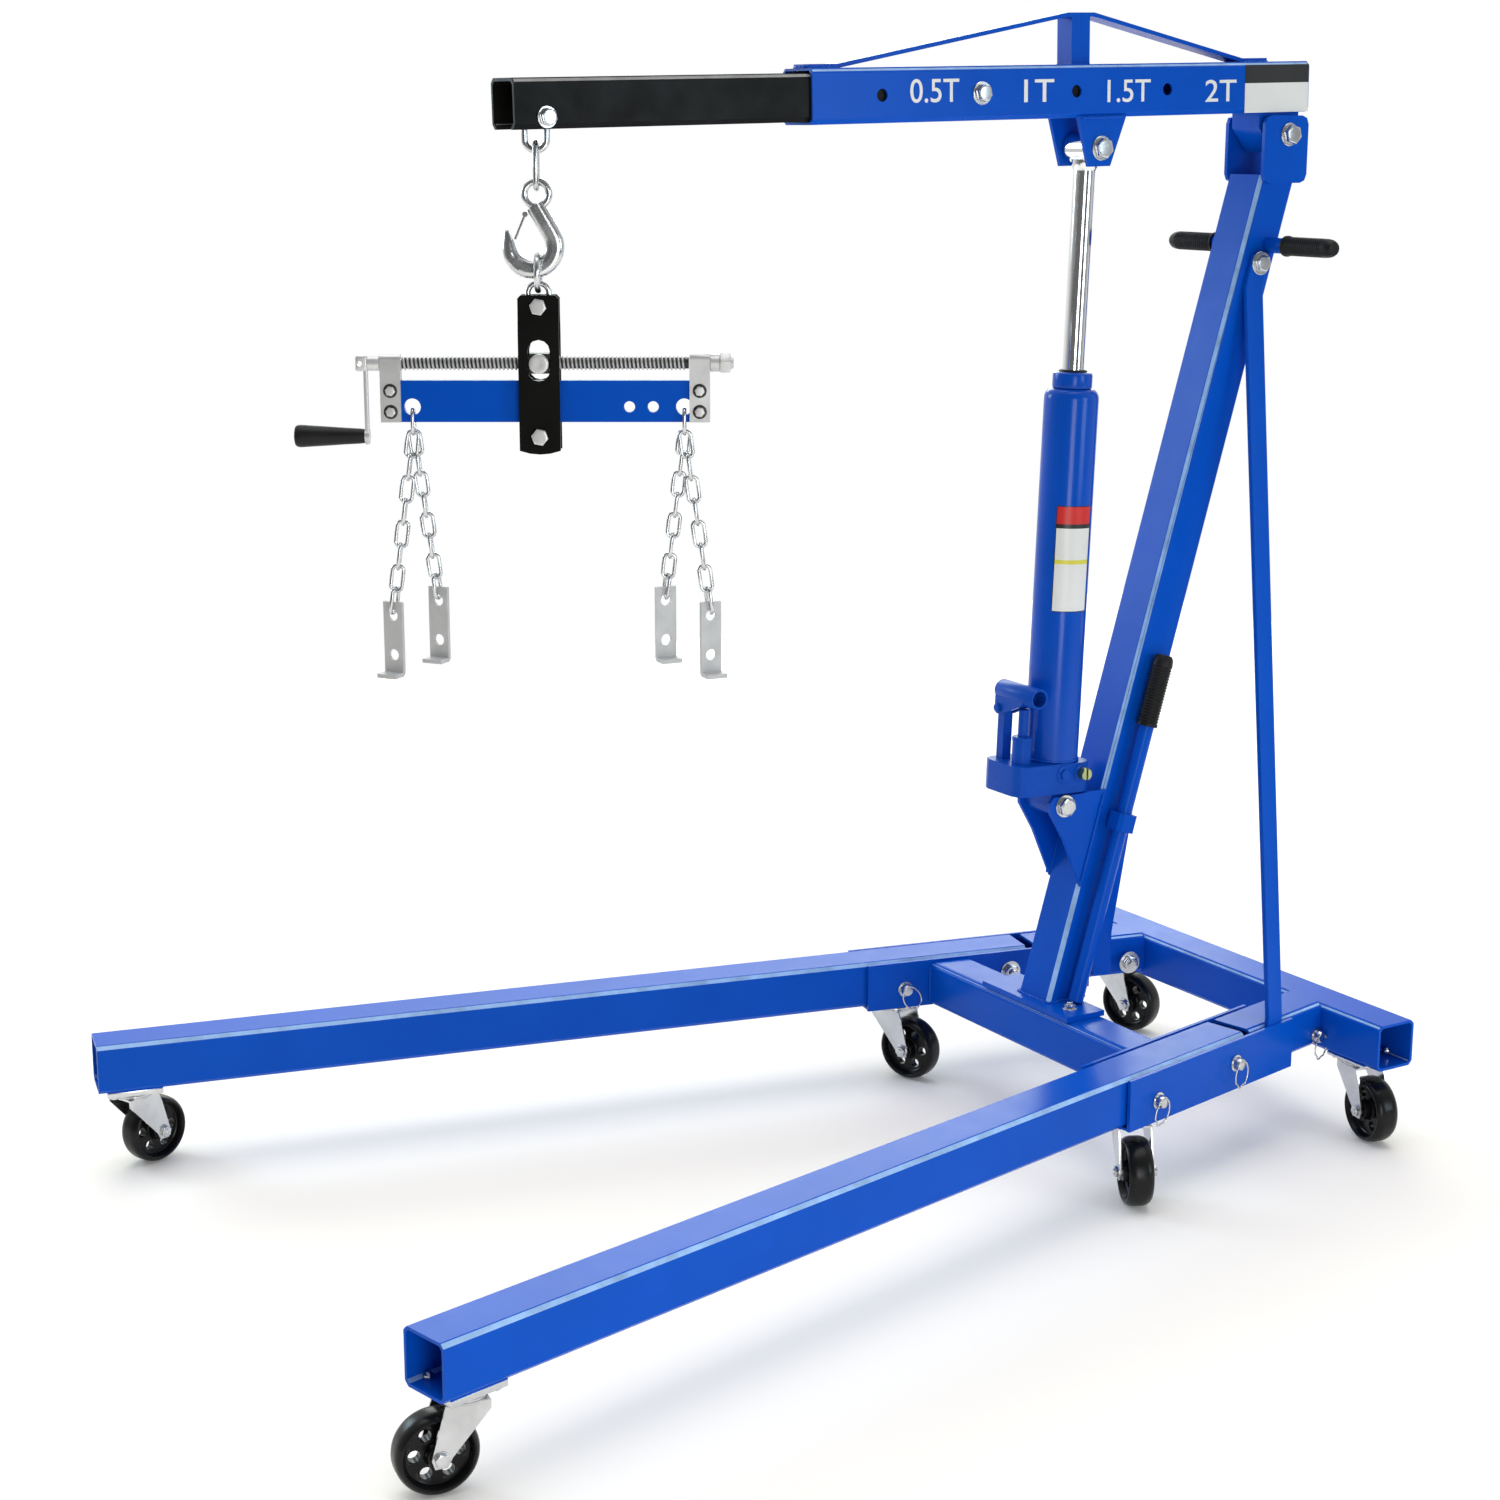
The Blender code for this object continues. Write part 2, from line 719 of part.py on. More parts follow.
def make_rear_tube():
    middle = Vector((REAR_TUBE_FRONT - BASE_TUBE / 2, 0, BASE_HEIGHT + BASE_TUBE / 2))
    reach = Y * REAR_HALF_LENGTH
    tube = box_tube(middle - reach, middle + reach, X, Z, BASE_TUBE, BASE_TUBE, BASE_WALL)
    for hand in (1, -1):
        join(tube, caster_pad(Vector((middle.x, hand * REAR_CASTER_Y, 0)), BASE_HEIGHT, (Y, X)))
    finish(tube, "rear_cross_tube", middle, PAINT)


def make_cross_tube():
    middle = Vector((CROSS_TUBE_FRONT - BASE_TUBE / 2, 0, BASE_HEIGHT + BASE_TUBE / 2))
    stock = Y * LEG_TIP_Y
    tube = box_tube(middle - stock, middle + stock, X, Z, BASE_TUBE, BASE_TUBE, BASE_WALL)
    inner = CHANNEL_HALF_GAP + CHANNEL_PLATE + GAP
    for hand in (1, -1):
        _, outward = leg_axes(hand)
        mitre(tube, leg_point(hand, LEG_LENGTH, -inner, 0), outward)
    finish(tube, "front_cross_tube", middle, PAINT, "rear_cross_tube")


def make_side_channel(hand, name):
    """Two plates round the leg, a web under it and a stub tube back to the rear tube."""
    ahead, outward = leg_axes(hand)
    outer = CHANNEL_HALF_GAP + CHANNEL_PLATE
    length = CHANNEL_BACK - CHANNEL_FRONT
    middle = (CHANNEL_BACK + CHANNEL_FRONT) / 2

    def plate(side):
        place = side * (CHANNEL_HALF_GAP + CHANNEL_PLATE / 2)
        centre = leg_point(hand, middle, place, BASE_HEIGHT + CHANNEL_HEIGHT / 2)
        return block(centre, (length, CHANNEL_HEIGHT, CHANNEL_PLATE), (ahead, Z, outward))

    web_height = BASE_HEIGHT + (WEB_PLATE + WELD) / 2
    web_middle = leg_point(hand, CHANNEL_FRONT + WEB_LENGTH / 2, 0, web_height)
    web_size = WEB_LENGTH - 2 * WELD, 2 * outer - CHANNEL_PLATE, WEB_PLATE - WELD
    web = block(web_middle, web_size, (ahead, outward, Z))
    pad_at = leg_point(hand, MIDDLE_CASTER_ALONG, 0, 0)
    pad = caster_pad(pad_at, BASE_HEIGHT + 2 * WELD, (ahead, outward))

    # The stay passes on the hoist's left of each stub, so that side of the stub stands back
    slot = STAY_THICK + 2 * GAP
    low = -CHANNEL_HALF_GAP - WELD if hand > 0 else -CHANNEL_HALF_GAP + slot
    high = CHANNEL_HALF_GAP - slot if hand > 0 else CHANNEL_HALF_GAP + WELD
    stub_middle = (low + high) / 2
    stub_height = BASE_HEIGHT + CHANNEL_HEIGHT - STUB_HEIGHT / 2
    front = leg_point(hand, LEG_LENGTH + STUB_CLEARANCE, stub_middle, stub_height)
    stock = front - ahead * (REAR_TUBE_BACK + BASE_TUBE)
    stub = box_tube(front, stock, outward, Z, high - low, STUB_HEIGHT, STUB_WALL)
    mitre(stub, X * (REAR_TUBE_FRONT + GAP), -X)

    channel = join(plate(1), web, plate(-1), stub, pad)
    pivot = leg_point(hand, LEG_PIVOT, 0, LEG_MIDDLE)
    bore = PIVOT_BOLT_RADIUS + PIN_PLAY
    cut(channel, rod(pivot - outward * 2 * outer, pivot + outward * 2 * outer, bore, 16))
    finish(channel, name, pivot, PAINT, "rear_cross_tube")


def make_leg(hand, name, carrier):
    ahead, outward = leg_axes(hand)
    heel = leg_point(hand, LEG_LENGTH, 0, LEG_MIDDLE)
    tip = leg_point(hand, 0, 0, LEG_MIDDLE)
    tube = box_tube(heel, tip, outward, Z, LEG_TUBE, LEG_TUBE, LEG_WALL)
    pivot = leg_point(hand, LEG_PIVOT, 0, LEG_MIDDLE)
    reach = outward * LEG_TUBE
    bore = rod(pivot - reach, pivot + reach, turning_bore(PIVOT_BOLT_RADIUS))
    pad = caster_pad(leg_point(hand, FRONT_CASTER_ALONG, 0, 0), LEG_BOTTOM, (ahead, outward))
    finish(join(cut(tube, bore), pad), name, pivot, PAINT, carrier)


def make_leg_pivot(hand, name, carrier):
    _, outward = leg_axes(hand)
    pivot = leg_point(hand, LEG_PIVOT, 0, LEG_MIDDLE)
    reach = outward * (CHANNEL_HALF_GAP + CHANNEL_PLATE)
    pin = bolt(pivot + reach, pivot - reach, PIVOT_BOLT_RADIUS, PIVOT_BOLT_HEAD, PIVOT_BOLT_HEAD_HEIGHT)
    finish(pin, name, pivot, ZINC, carrier)


def make_stay(hand, behind, name):
    """A flat bar from the mast's side down into the slot beside a stub, with both ends bent flat."""
    ahead, outward = leg_axes(hand)
    top_height = PIVOT_HEIGHT - STAY_TOP_DROP
    side = hand * (MAST_WIDTH / 2 + GAP + STAY_THICK / 2)
    slot = CHANNEL_HALF_GAP - GAP - STAY_THICK / 2
    slot_side = slot if hand > 0 else -slot
    bend_height = BASE_HEIGHT + CHANNEL_HEIGHT + STAY_BEND_ABOVE
    along = LEG_LENGTH + behind

    def section(centre, across, through):
        halves = ((-1, -1), (1, -1), (1, 1), (-1, 1))
        return [centre + across * a * STAY_WIDTH / 2 + through * b * STAY_THICK / 2 for a, b in halves]

    through = outward * hand
    rings = [
        section(mast_point(top_height + STAY_TAB / 2, 0, side), X, Y),
        section(mast_point(top_height - STAY_TAB / 2, 0, side), X, Y),
        section(leg_point(hand, along, slot_side, bend_height), ahead, through),
        section(leg_point(hand, along, slot_side, BASE_HEIGHT + STAY_FOOT_ABOVE), ahead, through),
    ]
    finish(loft(rings), name, mast_point(top_height, 0, side), PAINT, "mast")


# Mast
def make_mast():
    top = PIVOT_HEIGHT - MAST_TOP_DROP
    foot_top = BASE_TOP + GAP + FOOT_PLATE
    foot_middle = foot_top - FOOT_PLATE / 2
    stock = MAST_UP * MAST_DEPTH
    low, high = mast_point(foot_middle) - stock, mast_point(top) + stock
    tube = box_tube(low, high, Y, MAST_AHEAD, MAST_WIDTH, MAST_DEPTH, MAST_WALL)
    mitre(mitre(tube, Z * foot_middle, -Z), Z * top, Z)
    plate_middle = Vector((CROSS_TUBE_FRONT - BASE_TUBE / 2, 0, foot_middle))
    mast = join(tube, block(plate_middle, (BASE_TUBE, 2 * FOOT_HALF_WIDTH, FOOT_PLATE)))

    # Cheeks that carry the boom
    cheek = rounded(CHEEK_FRONT + CHEEK_BACK, CHEEK_ABOVE + CHEEK_BELOW, CHEEK_CORNER)
    cheek_middle = BOOM_PIVOT + X * (CHEEK_FRONT - CHEEK_BACK) / 2 + Z * (CHEEK_ABOVE - CHEEK_BELOW) / 2
    for hand in (1, -1):
        start = cheek_middle + Y * hand * CHEEK_INNER
        join(mast, extrude(cheek, start, X, Z, Y * hand * CHEEK_PLATE))
    reach = Y * (CHEEK_INNER + 2 * CHEEK_PLATE)
    cut(mast, rod(BOOM_PIVOT - reach, BOOM_PIVOT + reach, PIVOT_RADIUS + PIN_PLAY))

    # Ears for the ram: gussets that widen from the mast up to a round nose
    ear_top = RAM_ANCHOR_HEIGHT + EAR_ABOVE
    ear_foot = RAM_ANCHOR_HEIGHT - EAR_BELOW
    inset = MAST_DEPTH / 2 / cos(MAST_LEAN) - MAST_WALL
    nose = RAM_ANCHOR.x + EAR_NOSE
    ear = [
        (mast_point(ear_foot, inset).x, ear_foot),
        (RAM_ANCHOR.x, RAM_ANCHOR_HEIGHT - EAR_HIP),
        (nose, RAM_ANCHOR_HEIGHT - EAR_NOSE_HALF),
        (nose, RAM_ANCHOR_HEIGHT + EAR_NOSE_HALF),
        (nose - EAR_NOSE_HALF, ear_top),
        (mast_point(ear_top, inset).x, ear_top),
    ]
    ear_inner = MAST_WIDTH / 2 - MAST_WALL + WELD
    for hand in (1, -1):
        join(mast, extrude(ear, Y * hand * ear_inner, X, Z, Y * hand * LUG_PLATE))
    reach = Y * (ear_inner + 2 * LUG_PLATE)
    cut(mast, rod(RAM_ANCHOR - reach, RAM_ANCHOR + reach, RAM_BOLT_RADIUS + PIN_PLAY))

    # Holes for the push bar
    bar = mast_point(PIVOT_HEIGHT - PUSH_BAR_DROP, -PUSH_BAR_BACK)
    reach = Y * MAST_WIDTH
    cut(mast, rod(bar - reach, bar + reach, PUSH_BAR_RADIUS + PIN_PLAY))

    # Loop that holds the stored pump handle
    clip = mast_point(CLIP_HEIGHT)
    loop_at = clip + Y * (MAST_WIDTH / 2 + HANDLE_STANDOFF + HANDLE_RADIUS)
    loop_side = 2 * (HANDLE_RADIUS + CLIP_PLAY + CLIP_WALL)
    rise = MAST_UP * CLIP_HALF
    loop = box_tube(loop_at - rise, loop_at + rise, MAST_AHEAD, Y, loop_side, loop_side, CLIP_WALL)
    gap = HANDLE_STANDOFF - CLIP_PLAY - CLIP_WALL
    tab_size = CLIP_TAB, gap + 2 * WELD, 2 * CLIP_HALF
    tab = block(clip + Y * (MAST_WIDTH + gap) / 2, tab_size, (MAST_AHEAD, Y, MAST_UP))
    join(mast, tab, loop)
    finish(mast, "mast", mast_point(foot_top), PAINT, "front_cross_tube")


def make_push_bar():
    middle = mast_point(PIVOT_HEIGHT - PUSH_BAR_DROP, -PUSH_BAR_BACK)
    half = Y * PUSH_BAR_HALF
    finish(rod(middle - half, middle + half, PUSH_BAR_RADIUS), "push_bar", middle, PAINT, "mast")
    bore = PUSH_BAR_RADIUS / cos(pi / GRIP_SIDES) + PIN_PLAY
    flange = GRIP_RADIUS + GRIP_FLANGE
    groove = GRIP_RADIUS - GRIP_GROOVE
    pitch = (GRIP_LENGTH - 4 * GRIP_FLANGE) / GRIP_RIBS
    first = 2 * GRIP_FLANGE - GRIP_LENGTH
    profile = [(bore, 0), (bore, -GRIP_LENGTH), (flange, -GRIP_LENGTH), (flange, first - GRIP_GROOVE)]
    for rib in range(GRIP_RIBS):
        profile.append((groove, first + rib * pitch))
        profile.append((GRIP_RADIUS, first + (rib + 0.5) * pitch))
    profile.append((groove, -GRIP_FLANGE))
    profile.append((groove - GRIP_FLANGE, GRIP_FLANGE))
    for hand, name in ((1, "push_grip_left"), (-1, "push_grip_right")):
        end = middle + Y * hand * (PUSH_BAR_HALF + GAP)
        finish(turned(profile, end, Y * hand, GRIP_SIDES), name, end, RUBBER, "push_bar")


# Boom
def make_boom():
    centre = PIVOT_BELOW_BOOM + BOOM_TUBE / 2
    tail, mouth = boom_point(-BOOM_BACK, centre), boom_point(BOOM_REACH, centre)
    boom = box_tube(tail, mouth, Y, BOOM_UP, BOOM_TUBE, BOOM_TUBE, BOOM_WALL)

    # Lug between the mast's cheeks
    seat = PIVOT_BELOW_BOOM + WELD
    lug = [
        (-LUG_BACK, seat),
        (-LUG_BACK, -LUG_BELOW / 2),
        (-LUG_BACK + LUG_BELOW / 2, -LUG_BELOW),
        (LUG_BELOW - STRAP_THICK, -LUG_BELOW),
        (LUG_FRONT, PIVOT_RADIUS),
        (LUG_FRONT, seat),
    ]
    lug_half = Y * (CHEEK_INNER - LUG_CLEARANCE)
    join(boom, extrude(lug, BOOM_PIVOT - lug_half, BOOM_AHEAD, BOOM_UP, lug_half * 2))

    # Truss strap and post over the boom
    roof = PIVOT_BELOW_BOOM + BOOM_TUBE
    peak = roof + STRAP_RISE
    half_flat = STRAP_FLAT / 2
    bends = [
        (BOOM_REACH - STRAP_INSET, roof),
        (BOOM_REACH - STRAP_INSET - STRAP_FLAT, roof),
        (POST_PLACE + half_flat, peak),
        (POST_PLACE - half_flat, peak),
        (STRAP_REAR, roof),
        (STRAP_REAR - STRAP_FLAT, roof),
    ]
    strap = [(reach, rise - WELD) for reach, rise in bends]
    strap += [(reach, rise + STRAP_THICK) for reach, rise in bends[::-1]]
    strap_half = Y * STRAP_WIDTH / 2
    band = extrude(strap, BOOM_PIVOT - strap_half, BOOM_AHEAD, BOOM_UP, strap_half * 2)
    post_size = POST_SIDE, STRAP_WIDTH - 2 * WELD, STRAP_RISE + 2 * WELD
    post = block(boom_point(POST_PLACE, roof + STRAP_RISE / 2), post_size, (BOOM_AHEAD, Y, BOOM_UP))
    join(boom, band, post)

    # Ears for the ram's head
    ear_seat = PIVOT_BELOW_BOOM + BOOM_WALL - WELD
    chin = HEAD_EAR_BACK / 2
    ear = [
        (RAM_HEAD_REACH - HEAD_EAR_BACK, ear_seat),
        (RAM_HEAD_REACH - chin + LUG_PLATE, -HEAD_EAR_BELOW),
        (RAM_HEAD_REACH + chin, -HEAD_EAR_BELOW),
        (RAM_HEAD_REACH + HEAD_EAR_FRONT, ear_seat),
    ]
    for hand in (1, -1):
        start = BOOM_PIVOT + Y * hand * HEAD_EAR_INNER
        join(boom, extrude(ear, start, BOOM_AHEAD, BOOM_UP, Y * hand * LUG_PLATE))

    reach = Y * BOOM_TUBE
    for number in range(LOCK_HOLE_COUNT):
        hole = boom_point(LOCK_HOLE_FIRST - number * LOCK_HOLE_PITCH, centre)
        cut(boom, rod(hole - reach, hole + reach, LOCK_HOLE_RADIUS, LOCK_HOLE_SIDES))
    cut(boom, rod(BOOM_PIVOT - reach, BOOM_PIVOT + reach, turning_bore(PIVOT_RADIUS)))
    cut(boom, rod(RAM_HEAD, RAM_HEAD + reach, RAM_BOLT_RADIUS + PIN_PLAY))
    finish(boom, "boom", BOOM_PIVOT.copy(), PAINT, "mast")


def make_boom_bolts():
    reach = Y * (CHEEK_INNER + CHEEK_PLATE)
    pivot = bolt(BOOM_PIVOT + reach, BOOM_PIVOT - reach, PIVOT_RADIUS, PIVOT_HEAD, PIVOT_HEAD_HEIGHT)
    finish(pivot, "boom_pivot_bolt", BOOM_PIVOT.copy(), ZINC, "mast")
    inner = RAM_HEAD + Y * HEAD_EAR_INNER
    outer = inner + Y * LUG_PLATE
    shank = rod(inner, outer + Y * WELD, RAM_BOLT_RADIUS)
    head = rod(outer + Y * GAP, outer + Y * RAM_BOLT_HEAD_HEIGHT, RAM_BOLT_HEAD, 6)
    finish(join(shank, head), "ram_head_bolt", RAM_HEAD.copy(), ZINC, "boom")


def make_extension():
    centre = EXTENSION_BOTTOM + EXTENSION_TUBE / 2
    tip = boom_point(EXTENSION_REACH, centre)
    tail = tip - BOOM_AHEAD * EXTENSION_LENGTH
    tube = box_tube(tail, tip, Y, BOOM_UP, EXTENSION_TUBE, EXTENSION_TUBE, EXTENSION_WALL)

    # Slot under the tip for the chain link, and the bolt that carries it
    slot_length = EXTENSION_PAST_BOLT + TIP_SLOT_BACK
    slot_middle = boom_point(EXTENSION_REACH + EXTENSION_WALL - slot_length / 2, EXTENSION_BOTTOM)
    slot_size = slot_length + 2 * EXTENSION_WALL, 2 * TIP_SLOT_HALF, 3 * EXTENSION_WALL
    cut(tube, block(slot_middle, slot_size, (BOOM_AHEAD, Y, BOOM_UP)))
    reach = Y * EXTENSION_TUBE
    cut(tube, rod(HOOK_BOLT - reach, HOOK_BOLT + reach, HOOK_BOLT_RADIUS + PIN_PLAY))
    hole = boom_point(LOCK_HOLE_FIRST - LOCK_HOLE_PITCH, centre)
    cut(tube, rod(hole - reach, hole + reach, LOCK_HOLE_RADIUS, LOCK_HOLE_SIDES))
    finish(tube, "boom_extension", tip, BLACK_PAINT, "boom")
    half = Y * EXTENSION_TUBE / 2
    pin = bolt(HOOK_BOLT + half, HOOK_BOLT - half, HOOK_BOLT_RADIUS, HOOK_BOLT_HEAD, HOOK_BOLT_HEAD_HEIGHT)
    finish(pin, "hook_bolt", HOOK_BOLT.copy(), ZINC, "boom_extension")


# Ram and hand pump
def make_pump_block():
    """A rounded casting with the knuckle below and the pump's barrel, post and pin on it."""
    outline = rounded(BLOCK_FRONT + BLOCK_BACK, BLOCK_LEFT + BLOCK_RIGHT, BLOCK_CORNER)
    foot = ram_point((BLOCK_FRONT - BLOCK_BACK) / 2, (BLOCK_LEFT - BLOCK_RIGHT) / 2, BLOCK_BOTTOM)
    casting = extrude(outline, foot, RAM_AHEAD, Y, RAM_UP * (BLOCK_TOP - BLOCK_BOTTOM))
    knuckle_half = Y * (MAST_WIDTH / 2 - MAST_WALL - KNUCKLE_CLEARANCE)
    angles = [pi + pi * step / 6 for step in range(7)]
    knuckle = [(KNUCKLE_RADIUS * cos(angle), KNUCKLE_RADIUS * sin(angle)) for angle in angles]
    knuckle.append((KNUCKLE_RADIUS, BLOCK_BOTTOM + WELD))
    knuckle.append((-KNUCKLE_RADIUS, BLOCK_BOTTOM + WELD))
    join(casting, extrude(knuckle, RAM_ANCHOR - knuckle_half, RAM_AHEAD, RAM_UP, knuckle_half * 2))
    reach = Y * MAST_WIDTH
    cut(casting, rod(RAM_ANCHOR - reach, RAM_ANCHOR + reach, turning_bore(RAM_BOLT_RADIUS)))

    barrel_foot = ram_point(PUMP_AHEAD, PLUNGER_SIDE, BLOCK_TOP - WELD)
    barrel_top = ram_point(PUMP_AHEAD, PLUNGER_SIDE, BARREL_TOP)
    join(casting, rod(barrel_foot, barrel_top, BARREL_RADIUS))
    bore_foot = ram_point(PUMP_AHEAD, PLUNGER_SIDE, BLOCK_TOP - BARREL_DEPTH)
    cut(casting, rod(bore_foot, barrel_top + RAM_UP * BARREL_DEPTH, PLUNGER_RADIUS + PIN_PLAY))
    post_rise = FULCRUM_RISE + POST_ABOVE
    post_middle = ram_point(PUMP_AHEAD, FULCRUM_SIDE, (BLOCK_TOP + post_rise - WELD) / 2)
    post_size = 2 * POST_HALF, POST_THICK, post_rise - BLOCK_TOP + WELD
    join(casting, block(post_middle, post_size, (RAM_AHEAD, Y, RAM_UP)))
    pin_half = RAM_AHEAD * LEVER_PIN_HALF
    join(casting, rod(LEVER_PIN - pin_half, LEVER_PIN + pin_half, LEVER_PIN_RADIUS, 10))
    valve_hole = rod(VALVE - Y * VALVE_DEPTH, VALVE + Y * VALVE_PROUD, turning_bore(VALVE_STEM))
    cut(casting, valve_hole)
    finish(casting, "pump_block", RAM_ANCHOR.copy(), PAINT, "mast")


def make_release_valve():
    """A stem in the block with a cross slot in its head."""
    stem = rod(VALVE - Y * (VALVE_DEPTH - GAP), VALVE + Y * 2 * GAP, VALVE_STEM)
    head = rod(VALVE + Y * GAP, VALVE + Y * VALVE_PROUD, VALVE_HEAD)
    valve = join(stem, head)
    slot_size = VALVE_SLOT, VALVE_PROUD * 2 / 3, 4 * VALVE_HEAD
    cut(valve, block(VALVE + Y * VALVE_PROUD, slot_size))
    finish(valve, "release_valve", VALVE.copy(), BRASS, "pump_block")


def make_ram():
    shoulder = CYLINDER_RADIUS - CYLINDER_BORE
    profile = [
        (CYLINDER_BORE, CYLINDER_TOP),
        (CYLINDER_RADIUS - shoulder * 0.75, CYLINDER_TOP),
        (CYLINDER_RADIUS - shoulder * 0.25, CYLINDER_TOP - shoulder * 0.25),
        (CYLINDER_RADIUS, CYLINDER_TOP - shoulder),
        (CYLINDER_RADIUS, BLOCK_TOP + GAP),
        (CYLINDER_BORE, BLOCK_TOP + GAP),
    ]
    cylinder = turned(profile, RAM_ANCHOR, RAM_UP, 20, True)
    finish(cylinder, "ram_cylinder", ram_point(0, 0, BLOCK_TOP), PAINT, "pump_block")
    play = ROD_RADIUS + PIN_PLAY
    foot = CYLINDER_TOP + GAP
    chamfer = GLAND_HEIGHT / 5
    profile = [
        (play, foot + GLAND_HEIGHT),
        (GLAND_RADIUS - chamfer, foot + GLAND_HEIGHT),
        (GLAND_RADIUS, foot + GLAND_HEIGHT - chamfer),
        (GLAND_RADIUS, foot),
        (play, foot),
    ]
    gland = turned(profile, RAM_ANCHOR, RAM_UP, 18, True)
    finish(gland, "gland_nut", ram_point(0, 0, foot), PAINT, "ram_cylinder")
    neck = RAM_HEAD - RAM_UP * (ROD_EYE_RADIUS - 5 * WELD)
    stem = rod(RAM_HEAD - RAM_UP * ROD_LENGTH, neck, ROD_RADIUS, 18)
    eye_half = Y * ROD_EYE_HALF
    head = join(stem, rod(RAM_HEAD - eye_half, RAM_HEAD + eye_half, ROD_EYE_RADIUS, 16))
    cut(head, rod(RAM_HEAD - eye_half * 2, RAM_HEAD + eye_half * 2, RAM_BOLT_RADIUS + PIN_PLAY))
    finish(head, "ram_rod", RAM_HEAD.copy(), CHROME, "ram_cylinder")
    ears = Y * (MAST_WIDTH / 2 - MAST_WALL + WELD + LUG_PLATE)
    anchor = bolt(RAM_ANCHOR + ears, RAM_ANCHOR - ears, RAM_BOLT_RADIUS, RAM_BOLT_HEAD, RAM_BOLT_HEAD_HEIGHT)
    finish(anchor, "ram_anchor_bolt", RAM_ANCHOR.copy(), ZINC, "mast")


def make_pump():
    """The plunger in its barrel and the lever with a socket for the handle."""
    low = ram_point(PUMP_AHEAD, PLUNGER_SIDE, BLOCK_TOP + BARREL_DEPTH)
    high = ram_point(PUMP_AHEAD, PLUNGER_SIDE, SOCKET_RISE - SOCKET_RADIUS - POST_ABOVE)
    plunger_at = ram_point(PUMP_AHEAD, PLUNGER_SIDE, BARREL_TOP)
    finish(rod(low, high, PLUNGER_RADIUS), "pump_plunger", plunger_at, CHROME, "pump_block")

    depth = SOCKET_TO - SOCKET_FROM
    profile = [(SOCKET_BORE, SOCKET_SOLID), (SOCKET_BORE, depth), (SOCKET_RADIUS, depth), (SOCKET_RADIUS, 0)]
    lever = turned(profile, ram_point(PUMP_AHEAD, SOCKET_FROM, SOCKET_RISE), Y, 12)
    foot = FULCRUM_RISE - LEVER_EAR_EDGE
    near = 2 * PLUNGER_SIDE
    ear = [
        (FULCRUM_SIDE - LEVER_EAR_EDGE, SOCKET_RISE),
        (FULCRUM_SIDE - LEVER_EAR_EDGE, foot + LEVER_EAR_EDGE / 3),
        (FULCRUM_SIDE - LEVER_EAR_EDGE / 2, foot),
        (FULCRUM_SIDE + LEVER_EAR_EDGE * 2 / 3, foot),
        (near, SOCKET_RISE - PLUNGER_SIDE),
        (near, SOCKET_RISE),
    ]
    for hand in (1, -1):
        start = ram_point(PUMP_AHEAD + hand * (POST_HALF + WELD), 0, 0)
        join(lever, extrude(ear, start, Y, RAM_UP, RAM_AHEAD * hand * LEVER_EAR))
    reach = RAM_AHEAD * LEVER_PIN_HALF * 2
    cut(lever, rod(LEVER_PIN - reach, LEVER_PIN + reach, turning_bore(LEVER_PIN_RADIUS, 10), 10))
    finish(lever, "pump_lever", LEVER_PIN.copy(), PAINT, "pump_block")


def make_pump_handle():
    side = MAST_WIDTH / 2 + HANDLE_STANDOFF + HANDLE_RADIUS
    stand = mast_point(BASE_TOP + FOOT_PLATE + 2 * GAP, 0, side)
    foot = stand + MAST_UP * HANDLE_RADIUS * tan(MAST_LEAN)
    tip = foot + MAST_UP * HANDLE_LENGTH
    inside = HANDLE_RADIUS - HANDLE_WALL
    profile = [(inside, 0), (inside, HANDLE_LENGTH), (HANDLE_RADIUS, HANDLE_LENGTH), (HANDLE_RADIUS, 0)]
    finish(turned(profile, foot, MAST_UP, 12, True), "pump_handle", foot, PAINT, "mast")
    bore = turning_bore(HANDLE_RADIUS)
    knob = HANDLE_KNOB_RADIUS
    sleeve = [
        (bore, 0),
        (bore, -HANDLE_GRIP),
        (HANDLE_GRIP_RADIUS, -HANDLE_GRIP),
        (HANDLE_GRIP_RADIUS, -HANDLE_GRIP * 0.4),
        (knob, -knob / 3),
        (knob, knob / 4),
        (knob * 0.7, knob / 2),
    ]
    grip = turned(sleeve, tip + MAST_UP * GAP, MAST_UP, 12)
    finish(grip, "pump_handle_grip", tip, RUBBER, "pump_handle")


